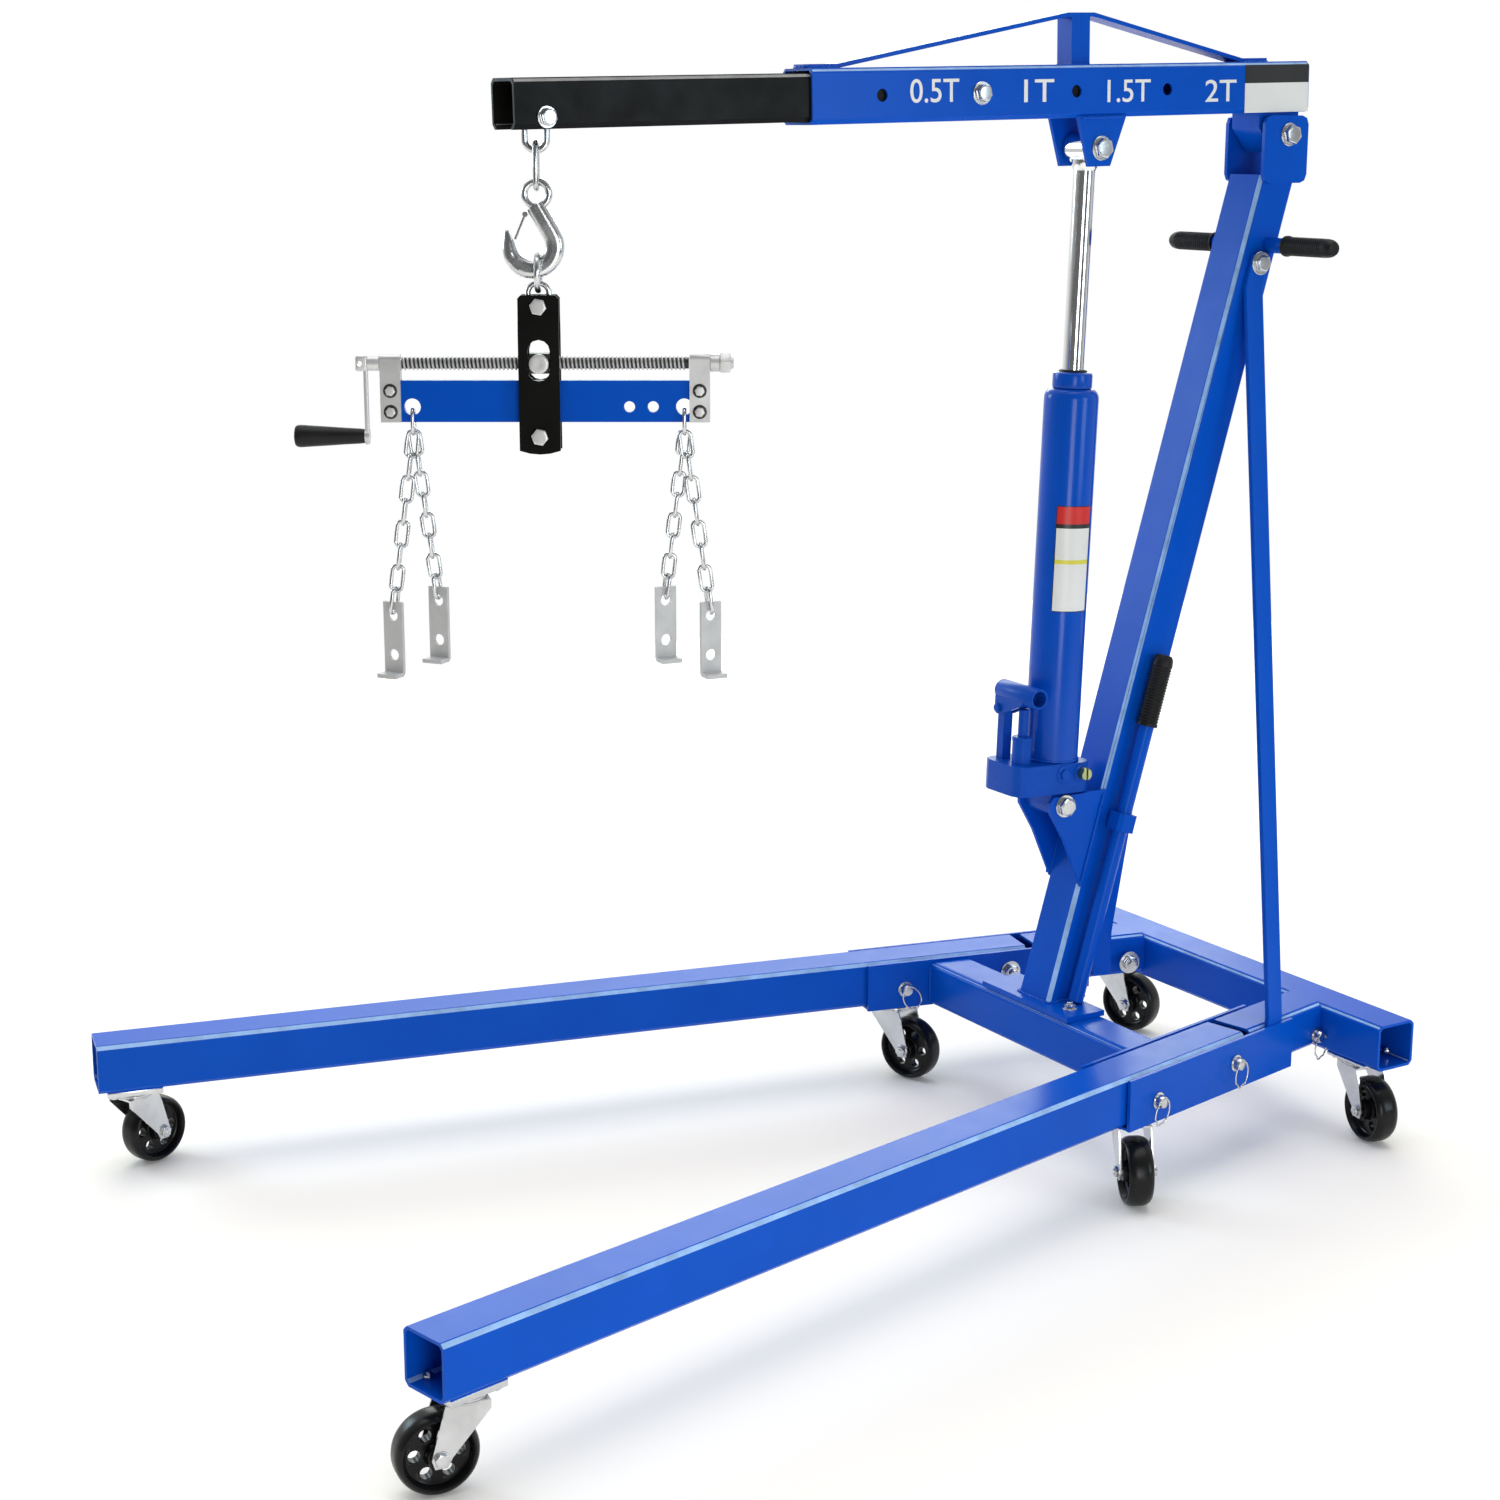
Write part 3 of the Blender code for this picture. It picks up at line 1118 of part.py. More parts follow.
# Casters
def make_caster(place, trail_yaw, name, carrier):
    """A swivel fork with its axle, and a wheel with round holes through its web."""
    trail = Vector((cos(trail_yaw), sin(trail_yaw), 0))
    axle_axis = Vector((-sin(trail_yaw), cos(trail_yaw), 0))
    swivel = Vector((place.x, place.y, BASE_HEIGHT - PAD_PLATE - GAP))
    axle = Vector((place.x, place.y, WHEEL_RADIUS)) + trail * CASTER_TRAIL
    bridge = swivel.z - RACE_HEIGHT + WELD

    race_profile = [
        (RACE_RADIUS, -RACE_HEIGHT),
        (RACE_RADIUS, -RACE_HEIGHT * 0.4),
        (RACE_RADIUS * 0.75, 0),
    ]
    race = turned(race_profile, swivel, Z, 8)
    inner = WHEEL_HALF_WIDTH + FORK_CLEARANCE
    crown_size = CROWN_LENGTH, 2 * (inner + FORK_PLATE - WELD), FORK_PLATE
    crown_at = Vector((place.x, place.y, bridge + WELD - FORK_PLATE / 2))
    fork = join(race, block(crown_at, crown_size, (trail, axle_axis, Z)))

    # Arms that lean back from the crown to the axle
    drop = bridge - WHEEL_RADIUS
    half = CROWN_LENGTH / 2 + WELD
    foot = 2 * AXLE_RADIUS + WELD
    arm = [
        (-half, drop),
        (-half, drop - 2 * AXLE_RADIUS),
        (CASTER_TRAIL - foot - 2 * FORK_PLATE / 3, 0),
        (CASTER_TRAIL - foot * 2 / 3, -foot),
        (CASTER_TRAIL + foot * 2 / 3, -foot),
        (CASTER_TRAIL + foot, 0),
        (half + 2 * FORK_PLATE, drop - 3 * AXLE_RADIUS),
        (half, drop),
    ]
    base = Vector((place.x, place.y, WHEEL_RADIUS))
    for hand in (1, -1):
        start = base + axle_axis * hand * inner
        join(fork, extrude(arm, start, trail, Z, axle_axis * hand * FORK_PLATE))
    reach = axle_axis * (inner + FORK_PLATE + AXLE_RADIUS)
    join(fork, rod(axle - reach, axle + reach, AXLE_RADIUS, 6))
    finish(fork, "caster_fork_" + name, swivel, ZINC, carrier)

    half = WHEEL_HALF_WIDTH
    rim = WHEEL_RADIUS - WHEEL_RIM
    profile = [
        (WHEEL_BORE, -half),
        (WHEEL_HUB, -half),
        (WHEEL_HUB, -WHEEL_WEB),
        (rim, -WHEEL_WEB),
        (rim + WHEEL_RIM / 2, WHEEL_WEB / 3 - half),
        (WHEEL_RADIUS, WHEEL_WEB * 1.5 - half),
    ]
    profile += [(radius, -far) for radius, far in profile[::-1]]
    wheel = turned(profile, axle, axle_axis, 12, True, -Z)
    holes = []
    for number in range(WHEEL_HOLES):
        angle = 2 * pi * number / WHEEL_HOLES
        centre = axle + (trail * cos(angle) + Z * sin(angle)) * (WHEEL_HUB + rim) / 2
        holes.append(rod(centre - axle_axis * half, centre + axle_axis * half, WHEEL_HOLE_RADIUS, 6))
    cut(wheel, gathered(holes))
    finish(wheel, "caster_wheel_" + name, axle, RUBBER, "caster_fork_" + name)


def make_casters():
    # Each caster has swung round as it does when the hoist is rolled into place
    for hand, side in ((1, "left"), (-1, "right")):
        front_yaw, middle_yaw, rear_yaw = (-9, 63, 79) if hand > 0 else (200, 110, 109)
        front = leg_point(hand, FRONT_CASTER_ALONG, 0, 0)
        middle = leg_point(hand, MIDDLE_CASTER_ALONG, 0, 0)
        rear = Vector((REAR_TUBE_FRONT - BASE_TUBE / 2, hand * REAR_CASTER_Y, 0))
        make_caster(front, radians(front_yaw), "front_" + side, "leg_" + side)
        make_caster(middle, radians(middle_yaw), "middle_" + side, "side_channel_" + side)
        make_caster(rear, radians(rear_yaw), "rear_" + side, "rear_cross_tube")


# Hook and links
def make_tackle():
    upper_top = -(HOOK_BOLT_RADIUS + 2 * LINK_PLAY + 2 * LINK_WIRE)
    upper_length = UPPER_LINK_DROP - upper_top
    upper_middle = tackle_point(0, 0, (upper_top + UPPER_LINK_DROP) / 2)
    upper = link(upper_middle, Z, TACKLE_AHEAD, upper_length, UPPER_LINK_WIDTH, LINK_WIRE, 4, 6)
    finish(upper, "chain_link_upper", HOOK_BOLT.copy(), ZINC, "hook_bolt")

    lower_top = UPPER_LINK_DROP - 2 * LINK_WIRE - LINK_PLAY - WELD - 2 * LOWER_WIRE
    eye_inside = HOOK_EYE_DROP - HOOK_EYE_RADIUS + HOOK_EYE_WIRE
    lower_bottom = eye_inside + LINK_PLAY + 2 * LOWER_WIRE
    lower_middle = tackle_point(0, 0, (lower_top + lower_bottom) / 2)
    lower_length = lower_bottom - lower_top
    lower = link(lower_middle, Z, TACKLE_SIDE, lower_length, LOWER_LINK_WIDTH, LOWER_WIRE, 4, 6)
    lower_at = tackle_point(0, 0, UPPER_LINK_DROP - LINK_WIRE)
    finish(lower, "chain_link_lower", lower_at, ZINC, "chain_link_upper")

    make_hook(tackle_point(0, 0, lower_bottom - LOWER_WIRE))

    # Load ring in the hook's bowl, and the link from it to the hanger's top bolt
    lean = asin(HOOK_BOWL_AHEAD / HOOK_BOWL_RADIUS)
    bar_drop = HOOK_BOWL_DROP + HOOK_BOWL_RADIUS * cos(lean)
    bar_half = HOOK_HALF / cos(lean)
    ring_inside_top = bar_drop - bar_half - RING_PLAY
    ring_inside_bottom = bar_drop + bar_half + 2 * LINK_PLAY + 2 * LOWER_WIRE
    ring_drop = (ring_inside_top + ring_inside_bottom) / 2
    ring_radius = (ring_inside_bottom - ring_inside_top) / 2 + RING_WIRE
    load_ring = ring(tackle_point(0, 0, ring_drop), TACKLE_SIDE, Z, ring_radius, RING_WIRE, 14)
    finish(load_ring, "load_ring", tackle_point(0, 0, bar_drop), ZINC, "hook")
    link_top = ring_inside_bottom - LINK_PLAY - 2 * LOWER_WIRE
    link_bottom = HANGER_BOLT_DROP + HANGER_BOLT_RADIUS + LINK_PLAY + 2 * LOWER_WIRE
    link_middle = tackle_point(0, 0, (link_top + link_bottom) / 2)
    link_length = link_bottom - link_top
    hanger_link = link(link_middle, Z, TACKLE_AHEAD, link_length, HANGER_LINK_WIDTH, LOWER_WIRE, 4, 6)
    finish(hanger_link, "hanger_link", tackle_point(0, 0, ring_drop + ring_radius), ZINC, "load_ring")


def make_hook(hung_at):
    """A flat forged bar from under its eye, down the back, round the bowl and up to the tip."""
    eye_at = tackle_point(0, 0, HOOK_EYE_DROP)
    eye = ring(eye_at, TACKLE_AHEAD, Z, HOOK_EYE_RADIUS, HOOK_EYE_WIRE, 12)

    def bowl(angle):
        ahead = HOOK_BOWL_AHEAD - HOOK_BOWL_RADIUS * cos(angle)
        return Vector((ahead, HOOK_BOWL_DROP + HOOK_BOWL_RADIUS * sin(angle)))

    neck = Vector((HOOK_NECK_AHEAD, HOOK_NECK_DROP))
    back = bowl(HOOK_BACK_START)
    bends = [(neck, HOOK_HALF), (neck.lerp(back, 0.3), HOOK_HALF)]
    for step in range(HOOK_BOWL_STEPS + 1):
        share = step / HOOK_BOWL_STEPS
        slim = max(0, share - HOOK_SLIM_FROM) / (1 - HOOK_SLIM_FROM)
        angle = HOOK_BACK_START + (HOOK_BOWL_END - HOOK_BACK_START) * share
        bends.append((bowl(angle), HOOK_HALF + (HOOK_LIP_HALF - HOOK_HALF) * slim))
    lip = bowl(HOOK_BOWL_END)
    tip = lip + HOOK_TIP_RISE * Vector((sin(HOOK_BOWL_END), cos(HOOK_BOWL_END)))
    bends.append((lip.lerp(tip, 0.5), (HOOK_LIP_HALF + HOOK_TIP_HALF) / 2))
    bends.append((tip, HOOK_TIP_HALF))
    path = [tackle_point(bend.x, 0, bend.y) for bend, _ in bends]
    sides = 8
    radii = [half / cos(pi / sides) for _, half in bends]
    bar = swept(path, radii, TACKLE_SIDE, sides, False, HOOK_FLATNESS)
    finish(join(bar, eye), "hook", hung_at, ZINC, "chain_link_lower")

    # Safety latch: a barrel against the hook's neck and a tongue that closes the mouth inside the tip
    run = (back - neck).normalized()
    barrel = neck + Vector((run.y, -run.x)) * (HOOK_HALF + LATCH_RADIUS + 2 * GAP) + run * LATCH_RADIUS
    end = Vector((LATCH_END_AHEAD, LATCH_END_DROP))
    reach = TACKLE_SIDE * LATCH_HALF
    barrel_at = tackle_point(barrel.x, 0, barrel.y)
    latch = rod(barrel_at - reach, barrel_at + reach, LATCH_RADIUS)
    along = end - barrel
    tongue_at = tackle_point(*((barrel + end) / 2).to_3d().xzy)
    tongue_along = (TACKLE_AHEAD * along.x - Z * along.y).normalized()
    tongue_size = along.length, 2 * LATCH_HALF - 2 * WELD, LATCH_THICK
    tongue_axes = tongue_along, TACKLE_SIDE, tongue_along.cross(TACKLE_SIDE)
    join(latch, block(tongue_at, tongue_size, tongue_axes))
    finish(latch, "hook_latch", barrel_at, ZINC, "hook")


# Load leveler
def make_hanger():
    """Two plates pinched together at the top, with a window for the nut, held by two bolts."""
    wide, tall = HANGER_HALF_WIDTH, HANGER_HEIGHT / 2
    outline = []
    for step in range(-HANGER_BOW_STEPS, HANGER_BOW_STEPS + 1):
        share = step / HANGER_BOW_STEPS
        outline.append((wide * share, HANGER_BOW * share**2 - tall))
    outline += [(wide, tall - HANGER_CORNER), (wide - HANGER_CORNER, tall)]
    outline += [(HANGER_CORNER - wide, tall), (-wide, tall - HANGER_CORNER)]
    opening = rounded(WINDOW_WIDTH, WINDOW_HEIGHT, WINDOW_WIDTH / 2 - GAP, 3)
    window_drop = SCREW_DROP - WINDOW_RISE - HANGER_TOP - tall
    window = [(across, up - window_drop) for across, up in opening]

    def plate(hand):
        inside = tackle_point(0, hand * HANGER_GAP, HANGER_TOP + tall)
        outward = TACKLE_SIDE * hand
        sheet = extrude(outline, inside, TACKLE_AHEAD * hand, Z, -outward * HANGER_PLATE, window)
        sheet.data.transform(Matrix.Translation(outward * HANGER_PLATE))
        low = tackle_point(0, 0, HANGER_TOP + PINCH_FROM).z
        high = tackle_point(0, 0, HANGER_TOP + PINCH_TO).z
        return joggled(sheet, low, high, -outward * (HANGER_GAP - PINCH_GAP))

    proud = HANGER_PLATE + HANGER_BOLT_PROUD
    low_bolt_drop = HANGER_TOP + HANGER_HEIGHT - HANGER_LOW_BOLT
    top_pin = cross_pin(0, HANGER_BOLT_DROP, PINCH_GAP + proud, HANGER_BOLT_RADIUS)
    low_pin = cross_pin(0, low_bolt_drop, HANGER_GAP + proud, HANGER_BOLT_RADIUS)
    hanger = join(plate(1), top_pin, plate(-1), low_pin)
    finish(hanger, "hanger", tackle_point(0, 0, HANGER_BOLT_DROP), BLACK_PAINT, "hanger_link")

    # Nut with round ends that sit in the windows
    centre = tackle_point(0, 0, SCREW_DROP)
    nut_size = NUT_SIDE, 2 * (HANGER_GAP - GAP), NUT_SIDE
    nut = block(centre, nut_size, (TACKLE_AHEAD, TACKLE_SIDE, Z))
    join(nut, cross_pin(0, SCREW_DROP, HANGER_GAP + HANGER_PLATE + 2 * WELD, NUT_END_RADIUS, 12))
    reach = TACKLE_AHEAD * 2 * NUT_SIDE
    cut(nut, rod(centre - reach, centre + reach, turning_bore(SCREW_RADIUS)))
    finish(nut, "trunnion_nut", centre, STEEL, "hanger")


def cross_pin(ahead, drop, half, radius, sides=10):
    """A pin across the leveler."""
    return rod(tackle_point(ahead, -half, drop), tackle_point(ahead, half, drop), radius, sides)


def make_leveler_bar():
    """A flat bar with an eye near each end, spare holes at the rear and a bearing bracket over each end."""
    middle = tackle_point(-BAR_SHIFT, -BAR_THICK / 2, BAR_TOP_DROP + BAR_HEIGHT / 2)
    outline = rounded(BAR_LENGTH, BAR_HEIGHT, BRACKET_PLATE)
    bar = extrude(outline, middle, TACKLE_AHEAD, Z, TACKLE_SIDE * BAR_THICK)
    for eye in (EYE_REAR, EYE_FRONT):
        cut(bar, cross_pin(eye, EYE_DROP, BAR_THICK, EYE_RADIUS, 12))
    for inset in SPARE_PLACES:
        cut(bar, cross_pin(EYE_REAR + inset, EYE_DROP, BAR_THICK, SPARE_RADIUS, 8))
    finish(bar, "leveler_bar", middle + TACKLE_SIDE * BAR_THICK / 2, PAINT, "trunnion_nut")

    inner = BAR_THICK / 2 + GAP
    outer = inner + BRACKET_PLATE
    foot = -BAR_TOP_DROP - BAR_HEIGHT
    crest = -SCREW_DROP + BRACKET_CREST
    shoulder = outer * 0.65
    saddle = [
        (-outer, foot),
        (-outer, crest - shoulder),
        (-outer + shoulder, crest),
        (outer - shoulder, crest),
        (outer, crest - shoulder),
        (outer, foot),
        (inner, foot),
        (inner, GAP - BAR_TOP_DROP),
        (-inner, GAP - BAR_TOP_DROP),
        (-inner, foot),
    ]
    ends = (BAR_REAR, "screw_bracket_rear"), (BAR_FRONT - BRACKET_LENGTH, "screw_bracket_front")
    for start, name in ends:
        depth = TACKLE_AHEAD * BRACKET_LENGTH
        bracket = extrude(saddle, tackle_point(start, 0, 0), TACKLE_SIDE, Z, depth)
        bearing = tackle_point(start, 0, SCREW_DROP)
        cut(bracket, rod(bearing - depth, bearing + 2 * depth, turning_bore(SCREW_RADIUS)))
        finish(bracket, name, bearing + depth / 2, ZINC, "leveler_bar")


def make_leveler_screw():
    """The screw with a crank at the front and a collar and nut at the rear."""
    across = TACKLE_AHEAD
    tail = tackle_point(BAR_REAR - SCREW_TAIL, 0, SCREW_DROP)
    crank = tackle_point(BAR_FRONT + CRANK_OUT, 0, SCREW_DROP)
    screw = rod(tail, crank, SCREW_RADIUS)
    nut_at = tail + across * 2 * WELD
    join(screw, rod(nut_at, nut_at + across * TAIL_NUT_LENGTH, TAIL_NUT_RADIUS, 6))
    bearing_end = tackle_point(BAR_REAR - GAP, 0, SCREW_DROP)
    join(screw, rod(bearing_end - across * COLLAR_LENGTH, bearing_end, COLLAR_RADIUS))
    sleeve_at = tackle_point(BAR_FRONT + GAP, 0, SCREW_DROP)
    join(screw, rod(sleeve_at, sleeve_at + across * SLEEVE_LENGTH, SLEEVE_RADIUS))
    arm = rounded(CRANK_WIDTH, CRANK_DROP + 1.25 * CRANK_WIDTH, CRANK_WIDTH / 2 - GAP, 3)
    arm_at = crank - across * CRANK_PLATE / 2 - Z * CRANK_DROP / 2
    join(screw, extrude(arm, arm_at, TACKLE_SIDE, Z, across * CRANK_PLATE))
    spindle = crank - Z * CRANK_DROP
    spindle_end = spindle + across * (CRANK_GRIP_LENGTH - 2 * SPINDLE_RADIUS)
    join(screw, rod(spindle, spindle_end, SPINDLE_RADIUS, 10))
    finish(screw, "leveler_screw", tackle_point(BAR_FRONT, 0, SCREW_DROP), STEEL, "trunnion_nut")

    grip_at = spindle + across * (CRANK_PLATE / 2 + GAP)
    length = CRANK_GRIP_LENGTH
    bore = SPINDLE_RADIUS + PIN_PLAY
    wide = CRANK_GRIP_RADIUS
    profile = [
        (bore, length - 1.5 * SPINDLE_RADIUS),
        (bore, 0),
        (wide * 0.63, 0),
        (wide * 0.7, length * 0.07),
        (wide * 0.85, length * 0.47),
        (wide, length * 0.88),
        (wide * 0.93, length * 0.965),
        (wide * 0.67, length),
    ]
    finish(turned(profile, grip_at, across, 10), "crank_grip", grip_at, RUBBER, "leveler_screw")


def make_chain(eye, name, hand):
    """A master link through the bar's eye and two strands of links down to a load bracket each."""
    master_top = EYE_DROP + EYE_RADIUS - MASTER_SAG - 2 * CHAIN_WIRE
    master_bottom = master_top + MASTER_LENGTH
    master_width = BAR_THICK + MASTER_PLAY + 4 * CHAIN_WIRE
    master_middle = tackle_point(eye, 0, (master_top + master_bottom) / 2)
    upright = [link(master_middle, Z, TACKLE_SIDE, MASTER_LENGTH, master_width, CHAIN_WIRE)]
    flat = []
    ends = []
    hang = master_bottom - 2 * CHAIN_WIRE
    facing = TACKLE_SIDE * cos(BRACKET_TURN) + TACKLE_AHEAD * hand * sin(BRACKET_TURN)
    outer = hand * STRAND_OUTER, STRAND_LONG, STRAND_SIDE
    inner = -hand * STRAND_INNER, STRAND_SHORT, -STRAND_SIDE
    for spread, drop, lane in (outer, inner):
        run = (TACKLE_AHEAD * spread - Z * drop).normalized()
        across = TACKLE_SIDE.cross(run)
        pitch = hypot(spread, drop) / CHAIN_LINKS
        length = pitch + 4 * CHAIN_WIRE
        start = tackle_point(eye, lane, hang) + run * (CHAIN_BITE - 2 * CHAIN_WIRE)
        for number in range(CHAIN_LINKS):
            centre = start + run * (length / 2 + number * pitch)
            if number % 2:
                # The last link has turned with the bracket that hangs in it
                broad = facing if number == CHAIN_LINKS - 1 else TACKLE_SIDE
                broad = (broad - run * broad.dot(run)).normalized()
                upright.append(link(centre, run, broad, length, CHAIN_LINK_WIDTH, CHAIN_WIRE))
            else:
                flat.append(link(centre, run, across, length, CHAIN_LINK_WIDTH, CHAIN_WIRE))
        ends.append(start + run * (length + (CHAIN_LINKS - 1) * pitch - 2 * CHAIN_WIRE))
    chain = join(gathered(upright), gathered(flat))
    finish(chain, "chain_" + name, tackle_point(eye, 0, EYE_DROP), ZINC, "leveler_bar")
    for end, strand in zip(ends, ("outer", "inner")):
        make_load_bracket(end, facing, f"load_bracket_{name}_{strand}", "chain_" + name)


def make_load_bracket(seat, facing, name, carrier):
    """An angle bracket: a strap with two bolt holes and a foot bent out of its lower end."""
    hole = seat - Z * BRACKET_RIDE
    half = BRACKET_THICK / 2
    foot = -BRACKET_BELOW
    angle = [
        (-half, BRACKET_ABOVE),
        (-half, foot + BRACKET_BEND),
        (-half + BRACKET_BEND, foot),
        (BRACKET_FOOT, foot),
        (BRACKET_FOOT, foot + BRACKET_THICK),
        (half, foot + BRACKET_THICK),
        (half, BRACKET_ABOVE),
    ]
    width = facing.cross(Z) * BRACKET_WIDTH
    strap = extrude(angle, hole - width / 2, facing, Z, width)
    reach = facing * BRACKET_THICK
    for drop in (0, BRACKET_LOW_HOLE):
        middle = hole - Z * drop
        cut(strap, rod(middle - reach, middle + reach, BRACKET_HOLE, 10))
    finish(strap, name, hole, STEEL, carrier)


for item in list(bpy.data.objects):
    bpy.data.objects.remove(item)
hoist = bpy.data.collections.new("engine_hoist")
bpy.context.scene.collection.children.link(hoist)

make_rear_tube()
make_cross_tube()
for side_hand, side_name in ((1, "left"), (-1, "right")):
    channel_name = "side_channel_" + side_name
    make_side_channel(side_hand, channel_name)
    make_leg(side_hand, "leg_" + side_name, channel_name)
    make_leg_pivot(side_hand, "leg_pivot_" + side_name, channel_name)
make_mast()
make_stay(1, STAY_LEFT_BEHIND, "stay_left")
make_stay(-1, STAY_RIGHT_BEHIND, "stay_right")
make_push_bar()
make_boom()
make_boom_bolts()
make_extension()
make_pump_block()
make_release_valve()
make_ram()
make_pump()
make_pump_handle()
make_casters()
make_tackle()
make_hanger()
make_leveler_bar()
make_leveler_screw()
make_chain(EYE_REAR, "rear", -1)
make_chain(EYE_FRONT, "front", 1)
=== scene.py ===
"""Dresses the engine hoist for its picture: finished pieces, finishes, floor, light and camera."""

import json

from math import cos, pi, radians, sin

import bmesh
import bpy
from mathutils import Matrix, Vector


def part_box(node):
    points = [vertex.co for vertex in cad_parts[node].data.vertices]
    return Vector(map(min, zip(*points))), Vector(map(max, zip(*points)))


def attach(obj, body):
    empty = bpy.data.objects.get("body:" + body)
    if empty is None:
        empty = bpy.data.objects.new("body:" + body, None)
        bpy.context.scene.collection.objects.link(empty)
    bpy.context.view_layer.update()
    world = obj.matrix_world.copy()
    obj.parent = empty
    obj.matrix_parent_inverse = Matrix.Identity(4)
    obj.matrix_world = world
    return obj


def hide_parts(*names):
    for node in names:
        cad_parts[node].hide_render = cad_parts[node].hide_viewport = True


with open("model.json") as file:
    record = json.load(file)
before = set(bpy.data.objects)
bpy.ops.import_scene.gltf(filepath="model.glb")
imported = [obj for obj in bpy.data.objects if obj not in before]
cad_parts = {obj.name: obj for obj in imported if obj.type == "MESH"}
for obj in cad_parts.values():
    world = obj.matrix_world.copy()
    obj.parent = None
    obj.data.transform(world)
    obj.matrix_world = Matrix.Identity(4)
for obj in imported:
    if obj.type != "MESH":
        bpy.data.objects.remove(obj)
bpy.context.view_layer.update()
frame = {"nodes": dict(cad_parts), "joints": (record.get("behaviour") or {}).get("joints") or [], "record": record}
nodes = frame["nodes"]
joints = {joint["name"]: joint for joint in frame["joints"]}
body_of = {node: body for body, group in frame["record"]["behaviour"]["bodies"].items() for node in group}
X, Y, Z = Vector((1, 0, 0)), Vector((0, 1, 0)), Vector((0, 0, 1))
SIDES = (1, "left"), (-1, "right")
HOLE_SIDES = 40
PIVOT_HOLE, RAM_HOLE, LOCK_HOLE, SCREW_HOLE = 0.0104, 0.0084, 0.0082, 0.0074


# Places, taken from the frame's joints
def spot(joint):
    return Vector(joints[joint]["pos_m"])


def axis_of(joint):
    return Vector(joints[joint]["axis"]).normalized()


def centre_of(node):
    low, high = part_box(node)
    return (low + high) / 2


BOOM_PIVOT = spot("boom_lift")
BOOM_AHEAD = axis_of("extension_reach")
BOOM_UP = BOOM_AHEAD.cross(Y)
RAM_FOOT = spot("ram_lean")
RAM_UP = axis_of("rod_stroke")
RAM_AHEAD = Y.cross(RAM_UP)
MAST_UP = axis_of("handle_lift")
MAST_AHEAD = Y.cross(MAST_UP)
HOOK_BOLT = spot("bolt_swing")
LEVEL_AHEAD = axis_of("crank_turn")
LEVEL_SIDE = axis_of("hook_swing")
PIVOT_AHEAD_OF_MAST = 0.0065
LEG_PIVOT_ALONG = 1.3755


def boom_point(reach, rise, side=0.0):
    return BOOM_PIVOT + BOOM_AHEAD * reach + BOOM_UP * rise + Y * side


def ram_point(ahead, side, rise):
    return RAM_FOOT + RAM_AHEAD * ahead + Y * side + RAM_UP * rise


def mast_point(height, ahead=0.0, side=0.0):
    top = BOOM_PIVOT - X * PIVOT_AHEAD_OF_MAST
    return top + MAST_UP * ((height - top.z) / MAST_UP.z) + X * ahead + Y * side


def tackle_point(ahead, side, drop):
    return HOOK_BOLT + LEVEL_AHEAD * ahead + LEVEL_SIDE * side - Z * drop


def leg_axes(hand):
    outward = axis_of("leg_fold_left" if hand > 0 else "leg_fold_right") * -hand
    return (outward.cross(Z) if hand > 0 else Z.cross(outward)), outward


def leg_point(hand, along, out, height):
    ahead, outward = leg_axes(hand)
    pivot = spot("leg_fold_left" if hand > 0 else "leg_fold_right")
    point = pivot + ahead * (LEG_PIVOT_ALONG - along) + outward * out
    return Vector((point.x, point.y, height))


# Working as by hand
def deselect():
    bpy.ops.object.select_all(action="DESELECT")


def work_on(piece):
    """Makes one piece the only one that operators act on."""
    deselect()
    piece.select_set(True)
    bpy.context.view_layer.objects.active = piece


def edit(piece):
    work_on(piece)
    bpy.ops.object.mode_set(mode="EDIT")
    bpy.ops.mesh.select_all(action="SELECT")


def leave():
    bpy.ops.object.mode_set(mode="OBJECT")


def bare_shape(piece, kind):
    """In edit mode, the mesh with nothing selected, for picking points, edges or faces."""
    bpy.ops.mesh.select_mode(type=kind)
    bpy.ops.mesh.select_all(action="DESELECT")
    return bmesh.from_edit_mesh(piece.data)


def select_points(piece, test):
    """In edit mode, selects the points whose place passes the test."""
    shape = bare_shape(piece, "VERT")
    for point in shape.verts:
        point.select = bool(test(point.co))
    shape.select_flush_mode()
    bmesh.update_edit_mesh(piece.data)


def clean(piece):
    """Merges the points that meet and turns every face outward."""
    edit(piece)
    bpy.ops.mesh.remove_doubles(threshold=1e-6)
    bpy.ops.mesh.normals_make_consistent(inside=False)
    leave()


def apply(piece, kind, **settings):
    """Adds a modifier and applies it."""
    work_on(piece)
    modifier = piece.modifiers.new(kind.lower(), kind)
    for key, value in settings.items():
        setattr(modifier, key, value)
    bpy.ops.object.modifier_apply(modifier=modifier.name)
    return piece


def smooth(piece, angle=35):
    work_on(piece)
    bpy.ops.object.shade_smooth_by_angle(angle=radians(angle))
    return piece


def axes_at(place, up, ahead=None):
    """A matrix at place whose Z runs along up and whose X lies towards ahead."""
    up = Vector(up).normalized()
    ahead = Vector(ahead) if ahead is not None else up.orthogonal()
    across = up.cross(ahead).normalized()
    ahead = across.cross(up)
    turn = Matrix((ahead, across, up)).transposed().to_4x4()
    return Matrix.Translation(Vector(place)) @ turn


def settle(piece):
    """Moves a piece's place, turn and size into its mesh."""
    work_on(piece)
    bpy.ops.object.transform_apply(location=True, rotation=True, scale=True)
    return piece


def put(piece, matrix):
    """Sets a piece that was made about the origin in its place."""
    piece.matrix_world = matrix
    return settle(piece)


def joined(name, pieces):
    """Several meshes as one piece."""
    deselect()
    for piece in pieces:
        piece.select_set(True)
    bpy.context.view_layer.objects.active = pieces[0]
    if len(pieces) > 1:
        bpy.ops.object.join()
    pieces[0].name = name
    return pieces[0]


def placed(name, data):
    piece = bpy.data.objects.new(name, data)
    bpy.context.scene.collection.objects.link(piece)
    return piece


